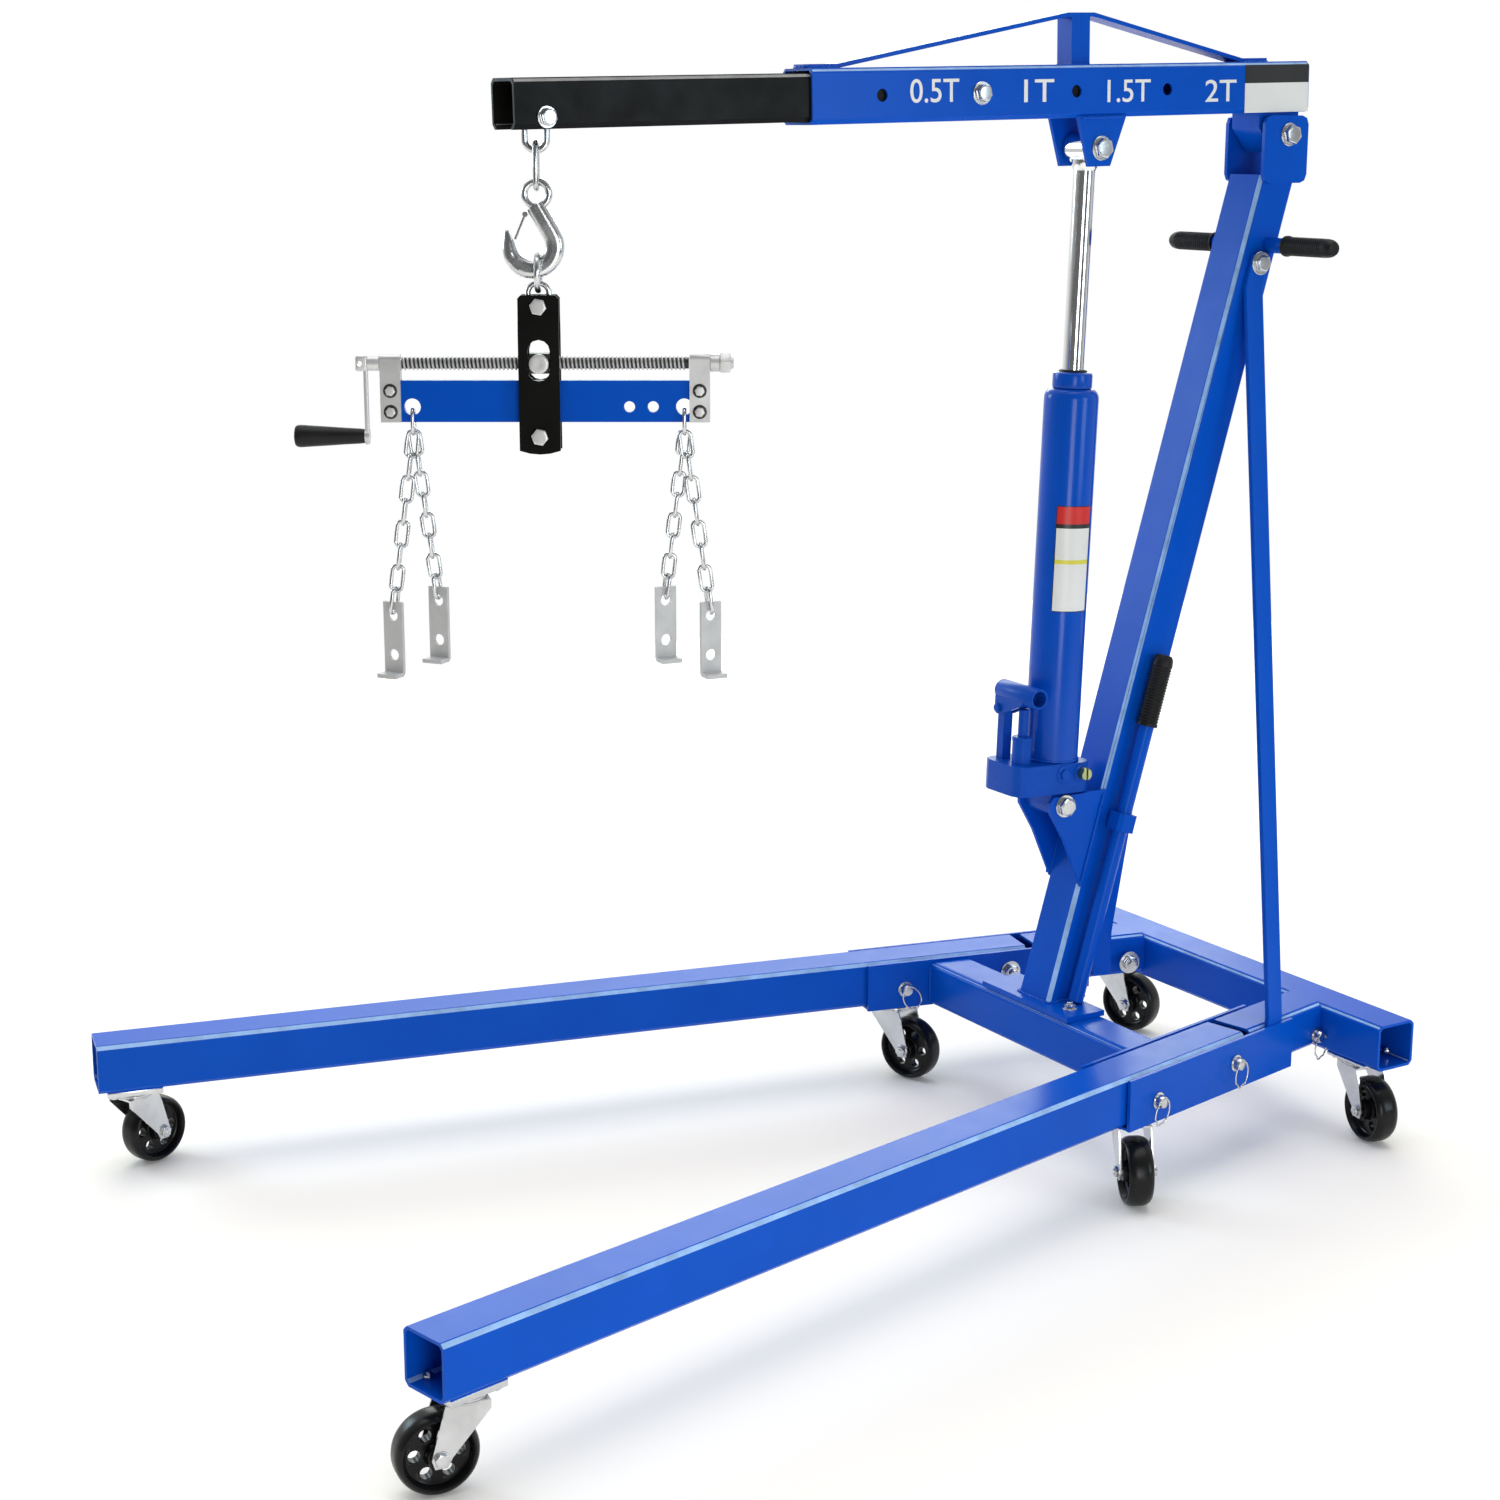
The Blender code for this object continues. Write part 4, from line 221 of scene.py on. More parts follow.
def copy_of(piece):
    twin = piece.copy()
    twin.data = piece.data.copy()
    bpy.context.scene.collection.objects.link(twin)
    return twin


def dress(piece, finish, body, *replaced):
    """Gives a piece its finish, its body and the CAD nodes that it stands for."""
    piece.data.materials.clear()
    piece.data.materials.append(finish)
    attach(piece, body)
    if replaced:
        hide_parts(*replaced)
    return piece


def fit(name, pieces, finish, body, *replaced):
    """Joins meshes under a name and dresses them."""
    dress(joined(name, pieces), finish, body, *replaced)


# Shapes
def turned(rings, sides=48):
    """A lathe form about Z: a disc is extruded and resized from ring to ring of (radius, height)."""
    deselect()
    first, low = rings[0]
    bpy.ops.mesh.primitive_circle_add(vertices=sides, radius=first, fill_type="NGON", location=(0, 0, 0))
    piece = bpy.context.object
    edit(piece)
    bpy.ops.transform.translate(value=(0, 0, low))
    for (old, under), (new, over) in zip(rings, rings[1:]):
        bpy.ops.mesh.extrude_region_move(TRANSFORM_OT_translate={"value": (0, 0, over - under)})
        if abs(new - old) > 1e-7:
            bpy.ops.transform.resize(value=(new / old, new / old, 1), center_override=(0, 0, 0))
    bpy.ops.mesh.select_all(action="SELECT")
    bpy.ops.mesh.normals_make_consistent(inside=False)
    leave()
    return smooth(piece)


def prism(sides, radius, height, bevel):
    """A bolt head or nut: a bevelled prism standing on the origin."""
    deselect()
    middle = 0, 0, height / 2
    bpy.ops.mesh.primitive_cylinder_add(vertices=sides, radius=radius, depth=height, location=middle)
    piece = settle(bpy.context.object)
    apply(piece, "BEVEL", width=bevel, segments=2, limit_method="ANGLE")
    return smooth(piece, 25)


def slab(size, centre, bevel=0.001, segments=2):
    """A bevelled block about centre."""
    deselect()
    bpy.ops.mesh.primitive_cube_add(size=1, location=centre)
    piece = bpy.context.object
    piece.scale = size
    settle(piece)
    apply(piece, "BEVEL", width=bevel, segments=segments, limit_method="ANGLE")
    return smooth(piece)


def wire(points, radius, resolution, smooth_steps, radii):
    """A round wire or weld bead through points, made a mesh."""
    deselect()
    line = bpy.data.curves.new("wire", "CURVE")
    line.dimensions = "3D"
    line.bevel_depth = radius
    line.bevel_resolution = resolution
    line.resolution_u = smooth_steps
    line.use_fill_caps = True
    run = line.splines.new("BEZIER")
    run.bezier_points.add(len(points) - 1)
    for knot, point, share in zip(run.bezier_points, points, radii):
        knot.co = point
        knot.handle_left_type = knot.handle_right_type = "AUTO"
        knot.radius = share
    piece = placed("wire", line)
    work_on(piece)
    bpy.ops.object.convert(target="MESH")
    piece = bpy.context.object
    clean(piece)
    return smooth(piece, 60)


# Finishes
def finish_of(name, colour, roughness, metallic=0.0, **look):
    """A finish with drifting colour and gloss, and a fine bump."""
    material = bpy.data.materials.new(name)
    material.use_nodes = True
    tree = material.node_tree
    shader = tree.nodes["Principled BSDF"]
    shader.inputs["Metallic"].default_value = metallic
    shader.inputs["Specular IOR Level"].default_value = look.get("specular", 0.5)
    where = tree.nodes.new("ShaderNodeTexCoord").outputs["Object"]

    def noise(scale, detail):
        node = tree.nodes.new("ShaderNodeTexNoise")
        node.inputs["Scale"].default_value = scale
        node.inputs["Detail"].default_value = detail
        node.inputs["Roughness"].default_value = 0.55
        tree.links.new(where, node.inputs["Vector"])
        return node.outputs["Fac"]

    def ramp(value, stops):
        node = tree.nodes.new("ShaderNodeValToRGB")
        band = node.color_ramp
        for stop, (place, shade) in zip(band.elements, (stops[0], stops[-1])):
            stop.position, stop.color = place, (*shade, 1)
        for place, shade in stops[1:-1]:
            band.elements.new(place).color = (*shade, 1)
        tree.links.new(value, node.inputs["Fac"])
        return node.outputs["Color"]

    drift = look.get("drift", 0.06)
    dark = tuple(part * (1 - drift) for part in colour)
    light = tuple(min(1.0, part * (1 + drift) + drift * 0.01) for part in colour)
    shade = ramp(noise(look.get("patch", 9.0), 5.0), [(0.32, dark), (0.5, colour), (0.7, light)])
    tree.links.new(shade, shader.inputs["Base Color"])
    spread = look.get("gloss_drift", 0.06)
    low, high = max(0.02, roughness - spread), min(1.0, roughness + spread)
    gloss = ramp(noise(26.0, 5.0), [(0.3, (low,) * 3), (0.7, (high,) * 3)])
    tree.links.new(gloss, shader.inputs["Roughness"])
    bump = tree.nodes.new("ShaderNodeBump")
    bump.inputs["Strength"].default_value = look.get("bump", 0.12)
    bump.inputs["Distance"].default_value = look.get("bump_depth", 0.0004)
    tree.links.new(noise(look["grain"], 2.0), bump.inputs["Height"])
    tree.links.new(bump.outputs["Normal"], shader.inputs["Normal"])
    return material


blue_paint = finish_of(
    "gloss_blue_paint", (0.0012, 0.082, 0.53), 0.24, specular=0.09, gloss_drift=0.03,
    grain=150, bump=0.04, drift=0.05
)
# Paler blue and grey paints for the painted highlight along the corners of the tubes and the extension
highlight_blue = finish_of(
    "painted_highlight_blue_paint", (0.30, 0.50, 0.82), 0.30, specular=0.3, grain=200, bump=0.08, drift=0.22, patch=30
)
highlight_black = finish_of(
    "painted_highlight_black_paint", (0.27, 0.27, 0.265), 0.32, specular=0.3, grain=300, bump=0.08, drift=0.25, patch=30
)
ram_paint = finish_of(
    "polished_blue_paint", (0.0012, 0.074, 0.49), 0.19, specular=0.22, gloss_drift=0.03,
    grain=130, bump=0.03, drift=0.05
)
dull_zinc = finish_of(
    "dull_zinc_plate", (0.56, 0.56, 0.56), 0.5, 0.2, specular=0.3, grain=420, bump=0.10, drift=0.08, patch=34
)
satin_zinc = finish_of(
    "satin_zinc_plate", (0.64, 0.64, 0.635), 0.36, 0.45, specular=0.5,
    grain=380, bump=0.08, drift=0.10, patch=34
)
black_paint = finish_of(
    "satin_black_paint", (0.0065, 0.0065, 0.006), 0.33, specular=0.07, grain=300, bump=0.10, drift=0.25
)
black_rubber = finish_of(
    "black_wheel_nylon", (0.0065, 0.0065, 0.0068), 0.27, specular=0.22, grain=700, bump=0.12, drift=0.3
)
grip_rubber = finish_of(
    "ribbed_grip_rubber", (0.0075, 0.0075, 0.008), 0.46, specular=0.22, grain=900, bump=0.25, drift=0.3
)
zinc = finish_of(
    "bright_zinc_plate", (0.62, 0.63, 0.64), 0.22, 1.0,
    grain=300, bump=0.05, drift=0.12, patch=30, gloss_drift=0.08
)
grey_steel = finish_of(
    "grey_zinc_steel", (0.43, 0.435, 0.44), 0.36, 1.0,
    grain=420, bump=0.16, drift=0.16, patch=34, gloss_drift=0.1
)
chrome = finish_of(
    "hard_chrome", (0.80, 0.805, 0.81), 0.09, 1.0, grain=60, bump=0.003, drift=0.04, gloss_drift=0.03
)
# Dark steel for the trunnion nut; on the thread's root and under the strap bolts it is painted shade
dark_steel_and_shade = finish_of(
    "dark_steel_and_painted_shade", (0.030, 0.029, 0.028), 0.45, 0.3, grain=520, bump=0.2, drift=0.3, patch=60
)
yellow_zinc = finish_of(
    "yellow_zinc_plate", (0.42, 0.47, 0.22), 0.36, 1.0, grain=600, bump=0.12, drift=0.15, patch=60
)
cast_blue = finish_of(
    "painted_casting", (0.0015, 0.066, 0.43), 0.32, specular=0.12,
    grain=260, bump=0.32, bump_depth=0.0006, drift=0.12
)
white_ink = finish_of("white_marking_ink", (0.82, 0.82, 0.80), 0.5, grain=900, bump=0.05, drift=0.05)
label_white = finish_of("white_sticker", (0.78, 0.78, 0.76), 0.35, grain=300, bump=0.04, drift=0.04)
label_black = finish_of("black_sticker_band", (0.012, 0.012, 0.013), 0.35, grain=300, bump=0.04, drift=0.1)
label_red = finish_of("red_sticker_band", (0.62, 0.012, 0.010), 0.35, grain=300, bump=0.04, drift=0.05)
label_yellow = finish_of("yellow_sticker_band", (0.72, 0.66, 0.06), 0.35, grain=300, bump=0.04, drift=0.05)

# Plain finishes on the CAD nodes that stay in view
plain = {"blue_paint": blue_paint, "black_paint": black_paint, "black_rubber": black_rubber}
plain |= {"zinc": zinc, "chrome": chrome, "grey_steel": grey_steel, "brass": yellow_zinc}
for part in frame["record"]["subparts"]:
    nodes[part["node"]].data.materials.clear()
    nodes[part["node"]].data.materials.append(plain[part["material_slot"]])


# Edges and copies of the CAD nodes
def round_edges(piece, least, most, width, segments, outer_only=False):
    """Bevels the edges whose two faces turn by between least and most degrees."""
    edit(piece)
    shape = bare_shape(piece, "EDGE")
    for edge in shape.edges:
        if len(edge.link_faces) == 2 and (edge.is_convex or not outer_only):
            edge.select_set(radians(least) < edge.calc_face_angle(0) < radians(most))
    bmesh.update_edit_mesh(piece.data)
    bpy.ops.mesh.bevel(offset=width, segments=segments, affect="EDGES", clamp_overlap=True)
    leave()


def bore(piece, place, axis, radius, depth=0.2):
    """Cuts a true round hole where the CAD has a coarse one."""
    deselect()
    bpy.ops.mesh.primitive_cylinder_add(vertices=HOLE_SIDES, radius=radius, depth=depth)
    cutter = put(bpy.context.object, axes_at(place, axis))
    apply(piece, "BOOLEAN", operation="DIFFERENCE", solver="EXACT", object=cutter)
    bpy.data.objects.remove(cutter)


def refined(node, holes=(), corner=0.0, edge=0.0007, segments=2):
    """A copy of a CAD node with merged points, round holes, rolled tube corners and broken edges."""
    piece = copy_of(nodes[node])
    piece.name = node + "_finished"
    piece.parent = None
    for key in list(piece.keys()):
        del piece[key]
    edit(piece)
    bpy.ops.mesh.remove_doubles(threshold=2e-6)
    bpy.ops.mesh.dissolve_limited(angle_limit=radians(0.6))
    leave()
    for hole in holes:
        bore(piece, *hole)
    if corner:
        round_edges(piece, 40, 50, corner, 3, outer_only=True)
    if edge:
        round_edges(piece, 55, 180, edge, segments)
    smooth(piece, 40)
    apply(piece, "WEIGHTED_NORMAL", keep_sharp=True, weight=60)
    return piece


# Which slanted corner faces get the painted highlight strip
HIGHLIGHT_LEAST, HIGHLIGHT_MOST, HIGHLIGHT_AREA, HIGHLIGHT_INSET = 0.64, 0.78, 2e-4, 0.3


def paint_edge_highlights(piece, finish, toward=Z):
    """Insets a narrow strip along the corners that face toward a side and gives it a paler paint, a painted
    highlight.
    """
    piece.data.materials.append(finish)
    edit(piece)
    shape = bare_shape(piece, "FACE")
    widths = []
    for face in shape.faces:
        slanted = HIGHLIGHT_LEAST < face.normal.dot(toward) < HIGHLIGHT_MOST and (toward == Z or abs(face.normal.y) > 0.3)
        if slanted and face.calc_area() > HIGHLIGHT_AREA:
            face.select_set(True)
            widths.append(face.calc_area() / max(side.calc_length() for side in face.edges))
    bmesh.update_edit_mesh(piece.data)
    if widths:
        bpy.ops.mesh.inset(thickness=HIGHLIGHT_INSET * min(widths), depth=0)
        piece.active_material_index = 1
        bpy.ops.object.material_slot_assign()
    leave()


def lathe(rings, place, axis, sides=48):
    """A turned form stood at a place along an axis."""
    return put(turned(rings, sides), axes_at(place, axis))


def bolt_end(place, outward, across, height, washer=0.0, stub=0.0):
    """What shows of a bolt: a washer, a domed six-sided head and, past a nut, the thread's end."""
    parts, rise = [], 0.0
    if washer:
        thick = height * 0.22
        rings = [(washer, 0), (washer, thick * 0.7), (washer - thick * 0.3, thick)]
        parts.append(turned(rings, 40))
        rise = thick
    head = prism(6, across, height - rise, across * 0.07)
    parts.append(put(head, Matrix.Translation((0, 0, rise))))
    crown = across * 0.74
    rings = [(crown, height - 0.0002), (crown * 0.97, height + across * 0.03)]
    parts.append(turned(rings + [(crown * 0.6, height + across * 0.05)], 32))
    if stub:
        radius = across * 0.52
        rings = [(radius, height), (radius, height + stub * 0.8), (radius * 0.82, height + stub)]
        parts.append(turned(rings, 24))
    return [put(part, axes_at(place, outward)) for part in parts]


def through_bolt(node, name, half, radius, across, height, stub):
    """A bolt through a joint: the shank between two plates, a head at one end and a nut at the other."""
    place = centre_of(node)
    shank = lathe([(radius, -half), (radius, half)], place, Y, 32)
    head = bolt_end(place + Y * half, Y, across, height, across * 1.18)
    nut = bolt_end(place - Y * half, -Y, across, height, across * 1.18, stub)
    fit(name, [shank, *head, *nut], zinc, body_of[node], node)


def link_ring(length, width, thick):
    """A chain link about the origin, long in X and flat in Z: a torus drawn apart at its middle."""
    deselect()
    bend = width / 2 - thick
    bpy.ops.mesh.primitive_torus_add(
        major_radius=bend, minor_radius=thick, major_segments=28, minor_segments=12, location=(0, 0, 0)
    )
    ring = bpy.context.object
    reach = length / 2 - thick - bend
    edit(ring)
    for hand in (1, -1):
        select_points(ring, lambda point: point.x * hand > 1e-6)
        bpy.ops.transform.translate(value=(hand * reach, 0, 0))
    leave()
    return smooth(ring, 80)


def bead(points, radius, ripple=0.0042):
    """A weld bead along straight stretches, with its ripples."""
    knots = []
    for start, end in zip(points, points[1:]):
        start, end = Vector(start), Vector(end)
        count = max(2, round((end - start).length / ripple))
        knots += [start.lerp(end, step / count) for step in range(count)]
    knots.append(Vector(points[-1]))
    swell = [(1.12, 0.82)[number % 2] for number in range(len(knots))]
    swell[0] = swell[-1] = 0.5
    return wire(knots, radius, 2, 2, swell)


# Base frame
TUBE_ROUND = 0.0032
CHANNEL_FACE = 0.043


def make_base():
    for node in ("rear_cross_tube", "front_cross_tube", "leg_left", "leg_right"):
        tube = refined(node, corner=TUBE_ROUND)
        # Paler strips on the upper corners: painted highlight
        paint_edge_highlights(dress(tube, blue_paint, body_of[node], node), highlight_blue)
    for node in ("side_channel_left", "side_channel_right"):
        channel = refined(node, corner=0.0022, edge=0.0010)
        paint_edge_highlights(dress(channel, blue_paint, body_of[node], node), highlight_blue)
    for node in ("stay_left", "stay_right"):
        dress(refined(node, edge=0.0018, segments=3), blue_paint, body_of[node], node)
    holes = [(BOOM_PIVOT, Y, PIVOT_HOLE), (RAM_FOOT, Y, RAM_HOLE)]
    tube = refined("mast", holes, corner=TUBE_ROUND)
    # The mast gets its painted highlight on the corners of its front face
    paint_edge_highlights(dress(tube, blue_paint, "base", "mast"), highlight_blue, MAST_AHEAD)
    for hand, side in SIDES:
        _, outward = leg_axes(hand)
        node = "leg_pivot_" + side
        place = centre_of(node)
        parts = [lathe([(0.008, -CHANNEL_FACE), (0.008, CHANNEL_FACE)], place, outward, 32)]
        parts += bolt_end(place - outward * CHANNEL_FACE, -outward, 0.0125, 0.009, 0.0165, 0.004)
        parts += clip_parts(place + outward * CHANNEL_FACE, outward, 0.2 * hand)
        fit("leg_pivot_pin_" + side, parts, zinc, body_of[node], node)


def make_base_bolts():
    """The bolts at the stays' tops, one inside each channel and one on the mast's foot plate."""
    for hand, side in SIDES:
        parts = bolt_end(mast_point(1.2377, 0, hand * 0.0438), Y * hand, 0.0125, 0.009, 0.0165)
        fit("stay_top_bolt_" + side, parts, zinc, "base")
    for hand, side in SIDES:
        _, outward = leg_axes(hand)
        place = leg_point(hand, 1.580, -CHANNEL_FACE, 0.150)
        parts = bolt_end(place, -outward, 0.0120, 0.0095, 0.0175, 0.004)
        fit("channel_bolt_" + side, parts, zinc, "base")
    parts = bolt_end(Vector((-0.425, 0.0684, 0.1943)), Z, 0.0085, 0.0065, 0.0105, 0.004)
    fit("foot_plate_bolt", parts, zinc, "base")


def clip_parts(place, outward, clip_turn):
    """A lock pin's round head and washer, and the spring ring that hangs through it."""
    rings = [(0.0062, -0.004), (0.0062, 0.0002), (0.0118, 0.0004), (0.0118, 0.0018), (0.0090, 0.0022)]
    rings += [(0.0088, 0.0095), (0.0076, 0.0118), (0.003, 0.0126)]
    head = lathe(rings, place, outward, 32)
    deselect()
    bpy.ops.mesh.primitive_torus_add(
        major_radius=0.0150, minor_radius=0.0012, major_segments=44, minor_segments=10
    )
    ring = bpy.context.object
    edit(ring)
    bpy.ops.transform.resize(value=(1.25, 0.92, 1), center_override=(0, 0, 0))
    select_points(ring, lambda point: point.x > 0.0145)
    bpy.ops.transform.resize(value=(1.06, 0.6, 1), center_override=(0.0150, 0, 0))
    leave()
    smooth(ring, 80)
    hang = -Z * cos(clip_turn) + outward.cross(Z) * sin(clip_turn)
    return [head, put(ring, axes_at(place + outward * 0.0128 + hang * 0.0135, outward, hang))]


def make_lock_pins():
    for hand, side in SIDES:
        _, outward = leg_axes(hand)
        for face, label in ((1, "outer"), (-1, "inner")):
            place = leg_point(hand, 1.2005, face * CHANNEL_FACE, 0.148)
            fit(f"leg_lock_pin_{side}_{label}", clip_parts(place, outward * face, 0.5 * hand), zinc, "base")
        place = leg_point(hand, 1.590, 0.0294 if hand > 0 else 0.0386, 0.142)
        fit("leg_store_pin_" + side, clip_parts(place, outward, 0.3), zinc, "base")


def make_caster_bolts():
    """Each caster's plate and its four bolts, with nuts inside the tube over it."""
    for place in ("front", "middle", "rear"):
        for hand, side in SIDES:
            centre = spot(f"swivel_{place}_{side}")
            ahead, outward = (Y, X) if place == "rear" else leg_axes(hand)
            low, top, body = 0.1139, 0.1178, "base"
            if place == "front":
                top, body = 0.1216, side + "_leg"
            parts = []
            for along in (-0.028, 0.028):
                for out in (-0.022, 0.022):
                    under = Vector((centre.x, centre.y, 0.1140)) + ahead * along + outward * out
                    parts += bolt_end(under, -Z, 0.0056, 0.0034)
                    parts += bolt_end(Vector((under.x, under.y, 0.1262)), Z, 0.0062, 0.0055, 0.0, 0.003)
            fit(f"caster_bolts_{place}_{side}", parts, zinc, body)
            plate = slab((0.0766, 0.0606, top - low), (0, 0, (top + low) / 2), 0.0008)
            put(plate, axes_at((centre.x, centre.y, 0), Z, ahead))
            fit(f"caster_plate_{place}_{side}", [plate], zinc, body)


# Casters
AXLE_DROP = 0.0662
TRAIL = 0.032
FORK_SIDE = 0.0237


def caster_axes(name):
    swivel, axle = spot("swivel_" + name), spot("roll_" + name)
    trail = Vector((axle.x - swivel.x, axle.y - swivel.y, 0)).normalized()
    return axes_at(swivel, Z, trail), axes_at(axle, Z.cross(trail), trail)


def make_fork(name):
    """The fork about its swivel: pressed arms, a two-part race, the king rivet and the axle's ends."""
    home, _ = caster_axes(name)
    plates = put(refined("caster_fork_" + name, edge=0.0009), home.inverted())
    race = [(0.0240, -0.0080), (0.0266, -0.0078), (0.0272, -0.0070), (0.0272, -0.0056), (0.0262, -0.0050)]
    race += [(0.0262, -0.0046), (0.0270, -0.0040), (0.0268, -0.0026), (0.0250, -0.0014), (0.0205, -0.0003)]
    rivet = [(0.0045, -0.0142), (0.0078, -0.0132), (0.0092, -0.0112), (0.0092, -0.0088)]
    parts = [plates, turned(race, 56), turned(rivet, 32)]
    axle = Vector((TRAIL, 0, -AXLE_DROP))
    parts += bolt_end(axle + Y * FORK_SIDE, Y, 0.0084, 0.0052, 0.0098)
    parts += bolt_end(axle - Y * FORK_SIDE, -Y, 0.0084, 0.0052, 0.0098, 0.0016)
    return joined("fork_pattern", parts)


def make_wheel():
    """The wheel about its axle: a solid tyre with rounded shoulders, a web with six holes and a hub."""
    rim, half, web = 0.0475, 0.0185, 0.0058
    side = [(0.0056, -half), (0.0120, -half), (0.0132, -half + 0.0010), (0.0140, -half + 0.0040)]
    side += [(0.0148, -web - 0.0012), (0.0162, -web), (0.0345, -web), (0.0362, -web - 0.0012)]
    side += [(0.0388, -half + 0.0030), (0.0402, -half + 0.0016), (0.0418, -half + 0.0014)]
    side += [(0.0440, -half + 0.0030), (0.0460, -half + 0.0062), (0.0471, -half + 0.0096)]
    side.append((rim, -half + 0.0130))
    wheel = turned(side + [(radius, -height) for radius, height in side[::-1]], 72)
    for number in range(6):
        angle = 2 * pi * number / 6
        bore(wheel, Vector((cos(angle), sin(angle), 0)) * 0.0252, Z, 0.0070, 0.05)
    round_edges(wheel, 60, 180, 0.0006, 2)
    return smooth(wheel, 40)


def make_casters():
    fork, wheel = make_fork("front_left"), make_wheel()
    for place in ("front", "middle", "rear"):
        for side in ("left", "right"):
            name = place + "_" + side
            swivel_axes, axle_axes = caster_axes(name)
            pressed = put(copy_of(fork), swivel_axes)
            fit("caster_fork_plated_" + name, [pressed], zinc, "fork_" + name, "caster_fork_" + name)
            tyre = put(copy_of(wheel), axle_axes)
            fit("caster_tyre_" + name, [tyre], black_rubber, "wheel_" + name, "caster_wheel_" + name)
    for pattern in (fork, wheel):
        bpy.data.objects.remove(pattern)


# Push bar and pump handle
def ribbed(length, radius, bore_radius, flange, pitch=0.0042):
    """A rubber grip's profile, from its open flange to its round end."""
    lip = radius + flange
    rings = [(bore_radius, 0), (lip, 0.0004), (lip, 0.0034), (radius + 0.0004, 0.0048)]
    count = int((length - 0.016) / pitch)
    for rib in range(count):
        start = 0.006 + rib * pitch
        rings += [(radius - 0.0009, start), (radius - 0.0009, start + 0.0010)]
        rings += [(radius + 0.0002, start + 0.0018), (radius + 0.0002, start + 0.0030)]
    rings += [(radius - 0.0004, length - 0.008), (radius - 0.0014, length - 0.004), (radius * 0.72, length)]
    rings.append((radius * 0.3, length + 0.0008))
    return rings


def make_push_bar():
    low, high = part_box("push_bar")
    middle, half = (low + high) / 2, (high.y - low.y) / 2
    rings = [(0.0104, -half), (0.0110, -half + 0.0006), (0.0110, half - 0.0006), (0.0104, half)]
    fit("push_bar_tube", [lathe(rings, middle, Y)], blue_paint, "base", "push_bar")
    for hand, side in SIDES:
        low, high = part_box("push_grip_" + side)
        length = high.y - low.y
        start = Vector((middle.x, low.y if hand > 0 else high.y, middle.z))
        grip = lathe(ribbed(length, 0.0130, 0.0112, 0.0016), start, Y * hand)
        fit("push_grip_rubber_" + side, [grip], grip_rubber, "base", "push_grip_" + side)


def make_pump_handle():
    foot = mast_point(0.1946, 0, 0.0551) + MAST_UP * 0.0032
    length = 0.505
    tube = [(0.0100, 0), (0.0110, 0.0008), (0.0110, length - 0.0008), (0.0104, length)]
    fit("pump_handle_tube", [lathe(tube, foot, MAST_UP)], blue_paint, "handle", "pump_handle")
    grip = lathe(ribbed(0.1040, 0.0146, 0.0112, 0.0006), foot + MAST_UP * (length - 0.095), MAST_UP)
    fit("pump_handle_rubber", [grip], grip_rubber, "handle", "pump_handle_grip")


# Boom
ROOF = 0.1001
BOOM_SIDE = 0.0348
HOLE_RISE, LOCK_REACH, FIRST_HOLE, HOLE_PITCH = 0.0653, 0.532, 0.689, 0.157
RAM_HEAD = boom_point(0.331, -0.0101)


def make_boom():
    lock = boom_point(LOCK_REACH, HOLE_RISE)
    holes = [(boom_point(FIRST_HOLE - number * HOLE_PITCH, HOLE_RISE), Y, LOCK_HOLE) for number in range(4)]
    holes += [(BOOM_PIVOT, Y, PIVOT_HOLE), (RAM_HEAD + Y * 0.0305, Y, RAM_HOLE, 0.02)]
    tube = refined("boom", holes, corner=TUBE_ROUND)
    # Paler strips on the upper corners of the boom and extension: painted highlight
    paint_edge_highlights(dress(tube, blue_paint, "boom", "boom"), highlight_blue)
    holes = [(HOOK_BOLT, Y, 0.0065), (lock, Y, LOCK_HOLE)]
    tube = refined("boom_extension", holes, corner=0.0026)
    paint_edge_highlights(dress(tube, black_paint, "extension", "boom_extension"), highlight_black)
    through_bolt("boom_pivot_bolt", "boom_pivot_pin", 0.0412, 0.010, 0.0136, 0.012, 0.005)
    through_bolt("hook_bolt", "hook_pin", 0.030, 0.006, 0.011, 0.008, 0.004)
    parts = bolt_end(RAM_HEAD + Y * 0.0335, Y, 0.0140, 0.010, 0.0165)
    parts += bolt_end(RAM_HEAD - Y * 0.0335, -Y, 0.0140, 0.010, 0.0165, 0.004)
    fit("ram_head_pin", parts, zinc, "boom", "ram_head_bolt")
    parts = bolt_end(lock + Y * BOOM_SIDE, Y, 0.0115, 0.009, 0.0150)
    parts += bolt_end(lock - Y * BOOM_SIDE, -Y, 0.0115, 0.009, 0.0150, 0.006)
    fit("extension_lock_bolt", parts, zinc, "boom")


def make_marks():
    """Load marks beside the lock holes, in white ink on the boom's left face."""
    turn = axes_at((0, 0, 0), Y, -BOOM_AHEAD)
    for words, left, right, middle in (
        ("0.5T", 0.6461, 0.5688, 0.0680),
        ("1T", 0.4682, 0.4185, 0.0653),
        ("1.5T", 0.3272, 0.2527, 0.0628),
        ("2T", 0.1515, 0.0952, 0.0601),
    ):
        deselect()
        bpy.ops.object.text_add(location=(0, 0, 0))
        mark = bpy.context.object
        mark.data.body = words
        mark.data.align_x, mark.data.align_y = "CENTER", "CENTER"
        mark.data.size = 0.042
        mark.data.extrude = 0.00012
        mark.data.offset = 0.0002
        bpy.ops.object.convert(target="MESH")
        mark = bpy.context.object
        mark.name = "load_mark_" + words.replace(".", "_")
        across = [point.co.x for point in mark.data.vertices]
        wide = max(across) - min(across)
        place = Matrix.Translation(boom_point((left + right) / 2, middle, BOOM_SIDE + 0.00014))
        put(mark, place @ turn @ Matrix.Diagonal(((left - right) / wide, 1, 1, 1)))
        dress(mark, white_ink, "boom")


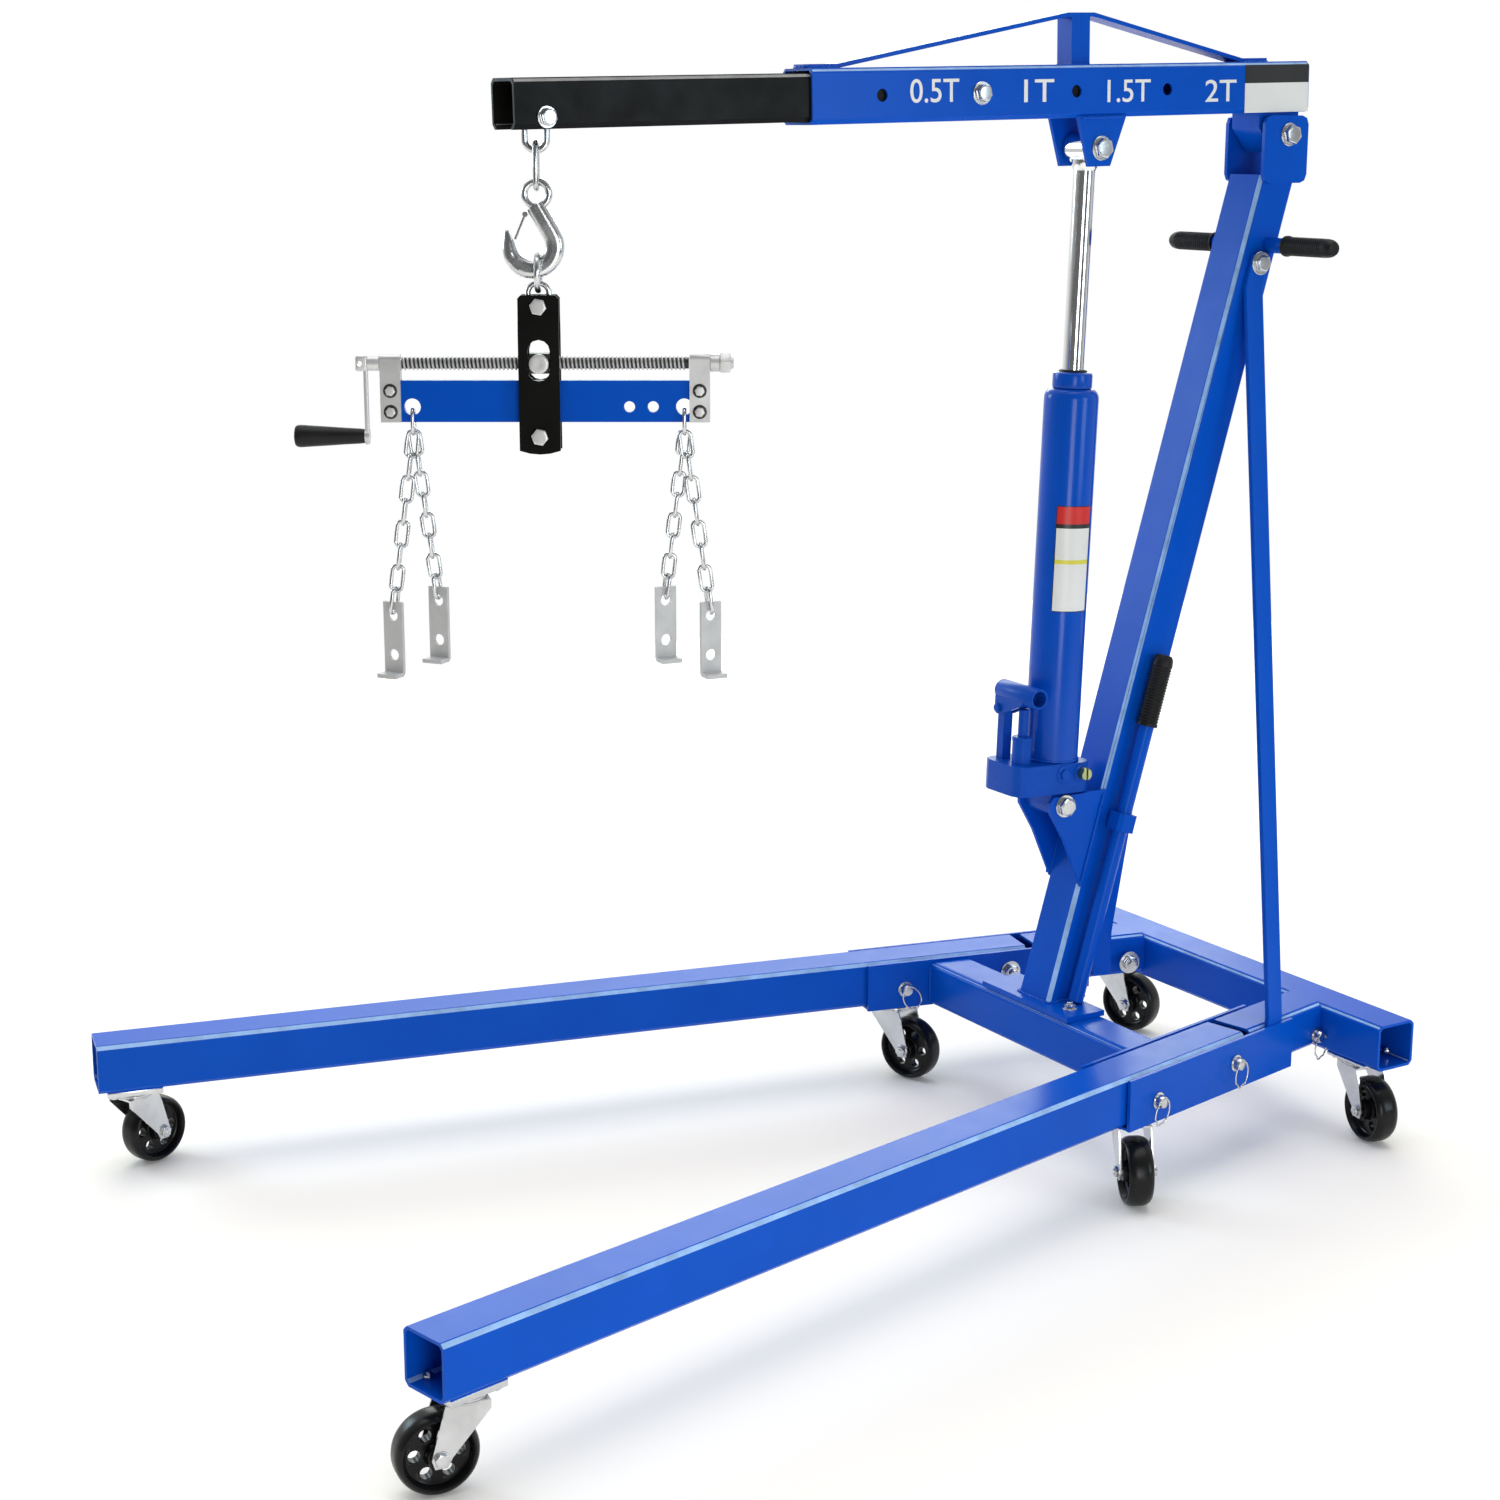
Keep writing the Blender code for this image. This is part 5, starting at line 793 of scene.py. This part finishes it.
def make_labels():
    """Plain colour bands where the boom and the cylinder carry stickers."""
    bands = [(0.0958, 0.0712, label_black, "black"), (0.0712, 0.0310, label_white, "white")]
    for top, foot, finish, colour in bands:
        middle = boom_point(0.0199, (top + foot) / 2, BOOM_SIDE + 0.0002)
        sheet = slab((0.1180, top - foot, 0.0003), (0, 0, 0), 0.0001, 1)
        put(sheet, axes_at(middle, Y, BOOM_AHEAD))
        fit("boom_sticker_" + colour, [sheet], finish, "boom")
    bands = [(0.426, 0.402, label_red, "red"), (0.402, 0.396, label_black, "black")]
    bands += [(0.396, 0.352, label_white, "white"), (0.352, 0.346, label_yellow, "yellow")]
    bands.append((0.346, 0.280, label_white, "foot"))
    for top, foot, finish, colour in bands:
        sheet = wrapped_sheet(0.03826, radians(36), radians(116), foot, top)
        fit("cylinder_sticker_" + colour, [sheet], finish, "ram")
    border = wrapped_sheet(0.03812, radians(34.2), radians(117.8), 0.2788, 0.4272)
    fit("cylinder_sticker_border", [border], label_black, "ram")


def wrapped_sheet(radius, start, end, foot, top):
    """A thin sticker round the ram: a strip is spun about the cylinder's line."""
    deselect()
    bpy.ops.mesh.primitive_plane_add(size=1, location=(0, 0, 0))
    sheet = bpy.context.object
    edit(sheet)
    select_points(sheet, lambda point: point.x > 0)
    bpy.ops.mesh.delete(type="VERT")
    leave()
    for point, rise in zip(sheet.data.vertices, (foot, top)):
        point.co = Vector((radius * cos(start), radius * sin(start), rise))
    edit(sheet)
    bpy.ops.mesh.spin(steps=24, angle=start - end, center=(0, 0, 0), axis=(0, 0, 1))
    leave()
    clean(sheet)
    apply(sheet, "SOLIDIFY", thickness=0.0002, offset=1.0)
    smooth(sheet, 40)
    return put(sheet, axes_at(RAM_FOOT, RAM_UP, X - RAM_UP * RAM_UP.x))


# Ram and pump
def make_ram():
    rings = [(0.0374, 0.0625), (0.0380, 0.0632), (0.0380, 0.5730), (0.0376, 0.5768), (0.0364, 0.5802)]
    rings += [(0.0342, 0.5834), (0.0310, 0.5858), (0.0262, 0.5870)]
    tube = lathe(rings, RAM_FOOT, RAM_UP, 72)
    weld = put(link_ring(0.0798, 0.0798, 0.0022), axes_at(ram_point(0, 0, 0.0640), RAM_UP))
    fit("ram_tube", [tube, weld], ram_paint, "ram", "ram_cylinder")
    rings = [(0.0250, 0.5874), (0.0272, 0.5878), (0.0276, 0.5890), (0.0276, 0.6044), (0.0268, 0.6074)]
    gland = lathe(rings + [(0.0238, 0.6094)], RAM_FOOT, RAM_UP, 56)
    fit("ram_gland", [gland], ram_paint, "ram", "gland_nut")
    rings = [(0.0196, 0.6090), (0.0194, 0.6112), (0.0176, 0.6124), (0.0158, 0.6126)]
    fit("ram_wiper", [lathe(rings, RAM_FOOT, RAM_UP)], grip_rubber, "ram")
    rod = lathe([(0.0140, -0.665), (0.0150, -0.664), (0.0150, -0.0165)], RAM_HEAD, RAM_UP, 64)
    rings = [(0.0196, -0.0240), (0.0210, -0.0226), (0.0210, 0.0226), (0.0196, 0.0240)]
    eye = lathe(rings, RAM_HEAD, Y, 64)
    neck = lathe([(0.0150, -0.0300), (0.0178, -0.0252), (0.0184, -0.0150)], RAM_HEAD, RAM_UP, 64)
    fit("ram_chrome_rod", [rod, neck, eye], chrome, "rod", "ram_rod")


def make_pump():
    ahead, side = 0.062, 0.012
    casting = refined("pump_block", [(RAM_FOOT, Y, RAM_HOLE)], edge=0.0022, segments=3)
    barrel = [(0.0138, 0.0610), (0.0138, 0.0950), (0.0146, 0.0956), (0.0146, 0.1002), (0.0134, 0.1012)]
    barrel.append((0.0080, 0.1014))
    foot = ram_point(ahead, side, 0)
    parts = [casting, lathe(barrel, foot, RAM_UP)]
    pin = ram_point(ahead, -0.030, 0.136)
    parts.append(lathe([(0.0040, -0.0162), (0.0040, 0.0162)], pin, RAM_AHEAD, 24))
    plug_seat, valve_seat = ram_point(0.006, 0.0396, 0.047), ram_point(-0.024, 0.0396, 0.047)
    parts += bolt_end(plug_seat, Y, 0.0085, 0.006)
    parts.append(lathe([(0.0135, 0), (0.0130, 0.0016), (0.0118, 0.0022)], plug_seat, Y, 32))
    parts.append(lathe([(0.0128, 0), (0.0124, 0.0018), (0.0112, 0.0024)], valve_seat, Y, 32))
    fit("pump_casting", parts, cast_blue, "ram", "pump_block")
    rings = [(0.0066, 0.0764), (0.0070, 0.0768), (0.0070, 0.1396), (0.0062, 0.1400)]
    plunger = lathe(rings, foot, RAM_UP, 32)
    fit("pump_plunger_rod", [plunger], cast_blue, "plunger", "pump_plunger")
    lever = refined("pump_lever", edge=0.0012)
    mouth = ram_point(ahead, 0.046, 0.160)
    sleeve = [(0.0113, -0.056), (0.0113, -0.0008), (0.0119, 0.0002), (0.0140, 0.0002), (0.0147, -0.0008)]
    sleeve += [(0.0147, -0.0845), (0.0138, -0.0862)]
    rings = [(0.0058, 0.0130), (0.0062, 0.0138), (0.0056, 0.0176), (0.0036, 0.0182)]
    ends = [lathe(rings, pin, RAM_AHEAD * hand, 24) for hand in (1, -1)]
    fit("pump_socket", [lever, lathe(sleeve, mouth, Y), *ends], cast_blue, "lever", "pump_lever")
    valve = spot("valve_turn")
    rings = [(0.0050, -0.0110), (0.0050, 0.0030), (0.0086, 0.0032), (0.0088, 0.0040), (0.0088, 0.0140)]
    stem = lathe(rings + [(0.0080, 0.0150)], valve, Y, 40)
    deselect()
    bpy.ops.mesh.primitive_cube_add(size=1, location=valve + Y * 0.0150)
    slot = bpy.context.object
    slot.scale = (0.0032, 0.0100, 0.0300)
    apply(stem, "BOOLEAN", operation="DIFFERENCE", solver="EXACT", object=slot)
    bpy.data.objects.remove(slot)
    round_edges(stem, 60, 180, 0.0004, 2)
    fit("release_valve_stem", [smooth(stem, 40)], yellow_zinc, "valve", "release_valve")
    through_bolt("ram_anchor_bolt", "ram_anchor_pin", 0.0382, 0.008, 0.014, 0.010, 0.005)


# Hook and links
def forged_bar():
    """The hook's bar, drawn as a round wire in its own plane and pressed flat across it."""
    centre, radius, half, lip_half, tip_half = Vector((0.0065, 0.152, 0)), 0.0275, 0.0113, 0.0087, 0.0024
    first, last, steps, slim_from = radians(-31), radians(172), 14, 0.75

    def bowl(angle):
        return centre + radius * Vector((-cos(angle), sin(angle), 0))

    neck, back = Vector((0.0025, 0.1035, 0)), bowl(first)
    bends = [(neck, half), (neck.lerp(back, 0.3), half), (neck.lerp(back, 0.68), half)]
    for step in range(steps + 1):
        share = step / steps
        slim = max(0, share - slim_from) / (1 - slim_from)
        bends.append((bowl(first + (last - first) * share), half + (lip_half - half) * slim))
    lip = bowl(last)
    tip = lip + 0.0235 * Vector((sin(last), cos(last), 0))
    for share in (0.35, 0.7, 0.93):
        bends.append((lip.lerp(tip, share), lip_half + (tip_half - lip_half) * share**1.3))
    bends.append((tip, tip_half * 0.6))
    bar = wire([place for place, _ in bends], 1, 7, 5, [wide for _, wide in bends])
    edit(bar)
    bpy.ops.transform.resize(value=(1, 1, 0.75), center_override=(0, 0, 0))
    for hand in (1, -1):
        select_points(bar, lambda point: point.z * hand > 0.0066)
        bpy.ops.transform.resize(value=(1, 1, 0), center_override=(0, 0, 0.0071 * hand))
    leave()
    plane = Matrix((LEVEL_AHEAD, -Z, LEVEL_AHEAD.cross(-Z))).transposed().to_4x4()
    return put(smooth(bar, 30), Matrix.Translation(HOOK_BOLT) @ plane)


def make_tackle():
    def ring_of(node, name, body, facing, width, thick):
        low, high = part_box(node)
        link = put(link_ring(high.z - low.z, width, thick), axes_at((low + high) / 2, facing, Z))
        fit(name, [link], zinc, body, node)

    ring_of("chain_link_upper", "boom_link", "upper_link", LEVEL_SIDE, 0.035, 0.004)
    ring_of("chain_link_lower", "hook_link", "lower_link", LEVEL_AHEAD, 0.026, 0.0035)
    ring_of("hanger_link", "leveler_link", "top_link", LEVEL_SIDE, 0.033, 0.0035)
    eye = put(link_ring(0.0382, 0.0382, 0.0042), axes_at(tackle_point(0, 0, 0.090), LEVEL_SIDE, Z))
    fit("forged_hook", [forged_bar(), eye], zinc, "hook", "hook")
    ring = put(link_ring(0.0508, 0.0508, 0.004), axes_at(centre_of("load_ring"), LEVEL_AHEAD, Z))
    fit("hook_ring", [ring], zinc, "ring", "load_ring")
    latch = refined("hook_latch", edge=0.0004)
    rings = [(0.0030, -0.0066), (0.0034, -0.0062), (0.0034, 0.0062), (0.0030, 0.0066)]
    barrel = lathe(rings, spot("latch_open"), LEVEL_SIDE, 32)
    fit("hook_safety_latch", [latch, barrel], zinc, "latch", "hook_latch")


# Load leveler
SCREW_DROP = 0.292
BAR_FIRST, BAR_LAST = -0.20775, 0.19475
BAR_TOP_DROP = 0.3128
STRAP_FACE = 0.0091
CRANK_REACH = 0.089


def make_leveler():
    dress(refined("hanger", edge=0.0012, segments=3), black_paint, "hanger", "hanger")
    parts = []
    for drop, face in ((0.2235, 0.012), (0.3805, 0.016)):
        for hand in (1, -1):
            place = tackle_point(0, hand * face, drop)
            parts += bolt_end(place, LEVEL_SIDE * hand, 0.0106, 0.0062, 0.0, 0.002 if hand < 0 else 0)
    fit("hanger_bolts", parts, satin_zinc, "hanger")
    nut = refined("trunnion_nut", [(tackle_point(0, 0, SCREW_DROP), LEVEL_AHEAD, SCREW_HOLE)], edge=0.0008)
    fit("screw_trunnion", [nut], dark_steel_and_shade, "hanger", "trunnion_nut")
    parts = []
    for hand in (1, -1):
        rings = [(0.0118, 0.0100), (0.0118, 0.0172), (0.0110, 0.0180), (0.0092, 0.0184), (0.0040, 0.0178)]
        parts.append(lathe(rings, tackle_point(0, 0, SCREW_DROP), LEVEL_SIDE * hand, 40))
    fit("trunnion_ends", parts, satin_zinc, "hanger")
    eye_drop = 0.3448
    eyes = BAR_FIRST + 0.0315, BAR_LAST - 0.0385
    holes = [(tackle_point(eye, 0, eye_drop), LEVEL_SIDE, 0.0102) for eye in eyes]
    for spare in (0.038, 0.067):
        holes.append((tackle_point(eyes[0] + spare, 0, eye_drop), LEVEL_SIDE, 0.0068))
    dress(refined("leveler_bar", holes, edge=0.0009), blue_paint, "leveler", "leveler_bar")
    for node in ("screw_bracket_front", "screw_bracket_rear"):
        middle = centre_of(node)
        hole = Vector((middle.x, middle.y, HOOK_BOLT.z - SCREW_DROP))
        bracket = refined(node, [(hole, LEVEL_AHEAD, SCREW_HOLE)], edge=0.0010)
        dress(bracket, satin_zinc, "leveler", node)
        bolts, shadow_washers = [], []
        for below in (0.0122, 0.0378):
            for hand in (1, -1):
                out = LEVEL_SIDE * hand
                place = Vector((middle.x, middle.y, HOOK_BOLT.z - BAR_TOP_DROP - below)) + out * STRAP_FACE
                # Dark washers under the strap bolts: painted shadow rings round the bolts
                shadow_washers.append(lathe([(0.0086, 0), (0.0086, 0.0008), (0.0078, 0.0012)], place, out, 32))
                bolts += bolt_end(place + out * 0.0011, out, 0.0062, 0.0040, 0.0, 0.0016 if hand < 0 else 0)
        end = node.split("_")[-1]
        fit("strap_washers_painted_shadow_" + end, shadow_washers, dark_steel_and_shade, "leveler")
        fit("strap_bolts_" + end, bolts, satin_zinc, "leveler")
    make_screw()
    for name in ("rear", "front"):
        make_chain(name)
        for strand in ("inner", "outer"):
            node = f"load_bracket_{name}_{strand}"
            swing = f"bracket_swing_{name}_{strand}"
            hole, facing = spot(swing), axis_of(swing)
            cuts = [(hole - Z * drop, facing, 0.0072, 0.02) for drop in (0, 0.050)]
            dress(refined(node, cuts, edge=0.0008), dull_zinc, body_of[node], node)


def make_screw():
    """The leveling screw: a coarse thread between plain ends, with its nut, collar, sleeve and crank."""
    lead, core, crest = 0.0050, 0.0066, 0.0087
    start, turns = BAR_FIRST + 0.0258, 70
    deselect()
    bpy.ops.mesh.primitive_circle_add(vertices=6, radius=core, fill_type="NOTHING", location=(0, 0, 0))
    thread = bpy.context.object
    steps = [(core, 0.0), (core, 0.0010), (crest, 0.0020), (crest, 0.0030), (core, 0.0040), (core, lead)]
    for point, (radius, height) in zip(thread.data.vertices, steps):
        point.co = (radius, 0, height)
    edit(thread)
    shape = bare_shape(thread, "EDGE")
    for edge in shape.edges:
        edge.select_set(abs(edge.verts[0].co.z - edge.verts[1].co.z) > lead * 0.9)
    bmesh.update_edit_mesh(thread.data)
    bpy.ops.mesh.delete(type="EDGE")
    leave()
    apply(
        thread, "SCREW", angle=2 * pi, screw_offset=lead, iterations=turns, steps=20, render_steps=20,
        use_merge_vertices=True, merge_threshold=1e-5,
    )
    clean(thread)
    smooth(thread, 30)
    line = tackle_point(0, 0, SCREW_DROP)
    put(thread, axes_at(line + LEVEL_AHEAD * start, LEVEL_AHEAD))
    # A dark cylinder in the thread's grooves: painted shade
    root_shade = lathe([(core + 0.0002, start), (core + 0.0002, start + lead * turns)], line, LEVEL_AHEAD, 32)
    fit("leveler_thread_root_painted_shade", [root_shade], dark_steel_and_shade, "screw")
    rear, front = line + LEVEL_AHEAD * BAR_FIRST, line + LEVEL_AHEAD * BAR_LAST
    tail = lathe([(0.0056, -0.0290), (0.0066, -0.0280), (0.0066, 0.012)], rear, LEVEL_AHEAD, 32)
    neck = lathe([(0.0066, -0.030), (0.0066, 0.0180)], front, LEVEL_AHEAD, 32)
    rings = [(0.0100, -0.0122), (0.0106, -0.0116), (0.0106, -0.0012), (0.0100, -0.0004)]
    collar = lathe(rings, rear, LEVEL_AHEAD, 40)
    rings = [(0.0090, 0.0004), (0.0096, 0.0010), (0.0096, 0.0146), (0.0090, 0.0152)]
    parts = [thread, tail, neck, collar, lathe(rings, front, LEVEL_AHEAD, 40)]
    parts += bolt_end(rear - LEVEL_AHEAD * 0.0125, -LEVEL_AHEAD, 0.0135, 0.0125, 0.0, 0.003)
    hub = line + LEVEL_AHEAD * (BAR_LAST + 0.018)
    arm = slab((0.0160, 0.1090, 0.0050), (0, 0, 0), 0.0012, 2)
    edit(arm)
    for hand in (1, -1):
        select_points(arm, lambda point: point.y * hand > 0.05)
        bpy.ops.transform.resize(value=(0.62, 1, 1), center_override=(0, 0, 0))
    leave()
    put(arm, axes_at(hub - Z * CRANK_REACH / 2, LEVEL_AHEAD, LEVEL_SIDE))
    for drop in (0.0, CRANK_REACH):
        parts.append(lathe([(0.0080, -0.0029), (0.0080, 0.0029)], hub - Z * drop, LEVEL_AHEAD, 40))
    clevis = slab((0.0190, 0.0165, 0.0150), (0, 0, 0), 0.0022, 3)
    put(clevis, axes_at(hub + LEVEL_AHEAD * 0.004, LEVEL_AHEAD, Z))
    bore(clevis, hub + LEVEL_AHEAD * 0.0065, LEVEL_SIDE, 0.0034, 0.04)
    parts += [arm, smooth(clevis, 40)]
    parts.append(lathe([(0.0040, 0), (0.0040, 0.075)], hub - Z * CRANK_REACH, LEVEL_AHEAD, 24))
    fit("leveler_screw_and_crank", parts, satin_zinc, "screw", "leveler_screw")
    length = 0.086
    rings = [(0.0080, 0), (0.0087, 0.0006), (0.0093, 0.0050), (0.0104, 0.0250), (0.0117, 0.0440)]
    rings += [(0.0130, 0.0650), (0.0137, 0.0760), (0.0138, 0.0795), (0.0132, 0.0828), (0.0116, 0.0850)]
    rings += [(0.0080, length), (0.003, length)]
    grip = lathe(rings, spot("crank_grip_turn"), LEVEL_AHEAD)
    fit("crank_hand_grip", [grip], grip_rubber, "crank_grip", "crank_grip")


def make_chain(name):
    """A master link through the bar's eye, and two strands of links to the load brackets."""
    thick, bite, count, hang, lane_side, seat_rise = 0.0024, 0.0005, 8, 0.0314, 0.0032, 0.0049
    eye = spot("chain_swing_" + name)
    master = put(link_ring(0.036, 0.0226, thick), axes_at(eye - Z * 0.0182, LEVEL_AHEAD, Z))
    parts = [master]
    for strand, lane in (("outer", 1), ("inner", -1)):
        top = eye - Z * hang + LEVEL_SIDE * lane * lane_side
        foot = spot(f"bracket_swing_{name}_{strand}") + Z * seat_rise
        run = (foot - top).normalized()
        pitch = ((foot - top).length - bite) / count
        length = pitch + 4 * thick
        pattern = link_ring(length, 0.019, thick)
        for number in range(count):
            centre = top + run * (length / 2 - 2 * thick + number * pitch + bite)
            flat = LEVEL_SIDE
            if number % 2:
                broad = axis_of(f"bracket_swing_{name}_{strand}") if number == count - 1 else LEVEL_SIDE
                flat = broad.cross(run)
            parts.append(put(copy_of(pattern), axes_at(centre, flat, run)))
        bpy.data.objects.remove(pattern)
    fit("chain_links_" + name, parts, zinc, f"{name}_chain", "chain_" + name)


# Welds
def make_welds():
    base, boom = [], []
    foot_top, half_width = 0.1945, 0.0356
    deep = 0.0325 / MAST_AHEAD.x
    low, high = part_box("front_cross_tube")
    ahead, outward = leg_axes(1)

    def boom_bead(ends, rise, side, radius):
        boom.append(bead([boom_point(reach, rise, side) for reach in ends], radius))

    for hand in (1, -1):
        lengthways = [mast_point(foot_top, fore, hand * half_width) for fore in (deep, -deep)]
        crossways = [mast_point(foot_top, hand * deep, side) for side in (-half_width, half_width)]
        base += [bead(lengthways, 0.0028), bead(crossways, 0.0028)]
        for x in (low.x + 0.006, high.x - 0.006):
            along = LEG_PIVOT_ALONG + (spot("leg_fold_left").x - outward.x * 0.0434 - x) / ahead.x
            y = leg_point(hand, along, -0.0434, 0).y
            edge_x = low.x - 0.0004 if x < (low.x + high.x) / 2 else high.x + 0.0004
            base.append(bead([(edge_x, y, 0.124), (edge_x, y, 0.180)], 0.0026))
        for face in (0.0320, 0.0392):
            base.append(bead([mast_point(height, deep, hand * face) for height in (0.366, 0.497)], 0.0024))
    for reach in (0.790, 0.0225):
        boom.append(bead([boom_point(reach, ROOF + 0.001, side) for side in (-0.015, 0.015)], 0.0030))
    for hand in (1, -1):
        for ends in ((0.745, 0.790), (0.023, 0.066)):
            boom_bead(ends, ROOF + 0.0005, hand * 0.0166, 0.0024)
        boom_bead((0.339, 0.369), ROOF, hand * 0.0162, 0.0024)
        boom_bead((0.293, 0.366), 0.0300, hand * 0.0340, 0.0022)
    fit("base_welds", base, blue_paint, "base")
    fit("boom_welds", boom, blue_paint, "boom")


make_base()
make_base_bolts()
make_lock_pins()
make_caster_bolts()
make_casters()
make_push_bar()
make_pump_handle()
make_boom()
make_marks()
make_labels()
make_ram()
make_pump()
make_tackle()
make_leveler()
make_welds()


# Floor, light and camera
FOCAL_PIXELS, FRAME_PIXELS = 2655.6, 1500
CAMERA_PLACE = 1.86557, 2.91186, 1.43100
CAMERA_AHEAD = Vector((-0.51054, -0.82855, -0.22989)).normalized()
CAMERA_RIGHT = Vector((-0.85136, 0.52458, 0)).normalized()


def make_stage():
    deselect()
    bpy.ops.mesh.primitive_plane_add(size=7, location=(0, 0, 0))
    floor = bpy.context.object
    floor.name = "studio_floor"
    card = bpy.data.materials.new("white_studio_floor")
    card.use_nodes = True
    tree = card.node_tree
    tree.nodes.clear()

    def add(kind, operation=None):
        node = tree.nodes.new("ShaderNode" + kind)
        if operation:
            node.operation = operation
        return node

    paper, glow, both = add("BsdfDiffuse"), add("Emission"), add("AddShader")
    path, seen, share = add("LightPath"), add("Math", "MAXIMUM"), add("Math", "MULTIPLY")
    paper.inputs["Color"].default_value = (0.93, 0.895, 0.84, 1)
    share.inputs[1].default_value = 0.08
    tree.links.new(path.outputs["Is Camera Ray"], seen.inputs[0])
    tree.links.new(path.outputs["Is Glossy Ray"], seen.inputs[1])
    tree.links.new(seen.outputs[0], share.inputs[0])
    tree.links.new(share.outputs[0], glow.inputs["Strength"])
    tree.links.new(paper.outputs[0], both.inputs[0])
    tree.links.new(glow.outputs[0], both.inputs[1])
    tree.links.new(both.outputs[0], add("OutputMaterial").inputs["Surface"])
    floor.data.materials.append(card)

    # The room is white to the camera and behind the hoist, and dimmer behind the camera
    world = bpy.data.worlds.new("studio")
    bpy.context.scene.world = world
    world.use_nodes = True
    tree = world.node_tree
    back = tree.nodes["Background"]
    back.inputs["Color"].default_value = (1, 1, 1, 1)
    toward, room, seen = add("VectorMath", "DOT_PRODUCT"), add("MapRange"), add("Mix")
    toward.inputs[1].default_value = (0.53, 0.80, -0.28)
    room.interpolation_type = "SMOOTHSTEP"
    for socket, value in (("From Min", -0.85), ("From Max", 0.75), ("To Min", 0.94), ("To Max", 0.15)):
        room.inputs[socket].default_value = value
    seen.inputs["B"].default_value = 1.0
    tree.links.new(add("TexCoord").outputs["Generated"], toward.inputs[0])
    tree.links.new(toward.outputs["Value"], room.inputs["Value"])
    tree.links.new(add("LightPath").outputs["Is Camera Ray"], seen.inputs["Factor"])
    tree.links.new(room.outputs["Result"], seen.inputs["A"])
    tree.links.new(seen.outputs["Result"], back.inputs["Strength"])

    sun = bpy.data.lights.new("overhead_light", "SUN")
    sun.energy = 1.0
    sun.angle = radians(50)
    bulb = placed("overhead_light", sun)
    bulb.matrix_world = axes_at((0, 0, 4), (0.0, -0.05, 1.0), X)

    def lamp(name, place, target, size, power, tint=(1, 1, 1)):
        light = bpy.data.lights.new(name, "AREA")
        light.shape = "RECTANGLE"
        light.size, light.size_y = size
        light.energy = power
        light.color = tint
        bulb = placed(name, light)
        bulb.matrix_world = axes_at(place, Vector(place) - Vector(target), X)
        bulb.visible_camera = False

    lamp("back_softbox", (-2.7, -4.8, 2.9), (0.0, 0.0, 0.2), (4.4, 2.0), 100, (0.88, 1.0, 0.90))
    lamp("left_softbox", (2.4, -4.0, 2.2), (-0.5, 0.0, 1.0), (1.6, 1.6), 60, (0.66, 0.86, 1.0))
    lamp("side_softbox", (-2.3, 4.6, 1.6), (-0.1, 0.0, 1.1), (1.5, 1.8), 50, (0.74, 0.9, 1.0))
    lamp("front_strip", (1.25, 4.0, 0.95), (-0.3, 0.0, 0.8), (1.2, 1.8), 42)


def make_camera():
    lens = bpy.data.cameras.new("photo_camera")
    lens.sensor_width = 36
    lens.lens = lens.sensor_width * FOCAL_PIXELS / FRAME_PIXELS
    lens.clip_end = 200
    camera = placed("photo_camera", lens)
    camera.matrix_world = axes_at(CAMERA_PLACE, -CAMERA_AHEAD, CAMERA_RIGHT)
    bpy.context.scene.camera = camera


make_stage()
make_camera()
bpy.context.scene.view_settings.view_transform = "Standard"
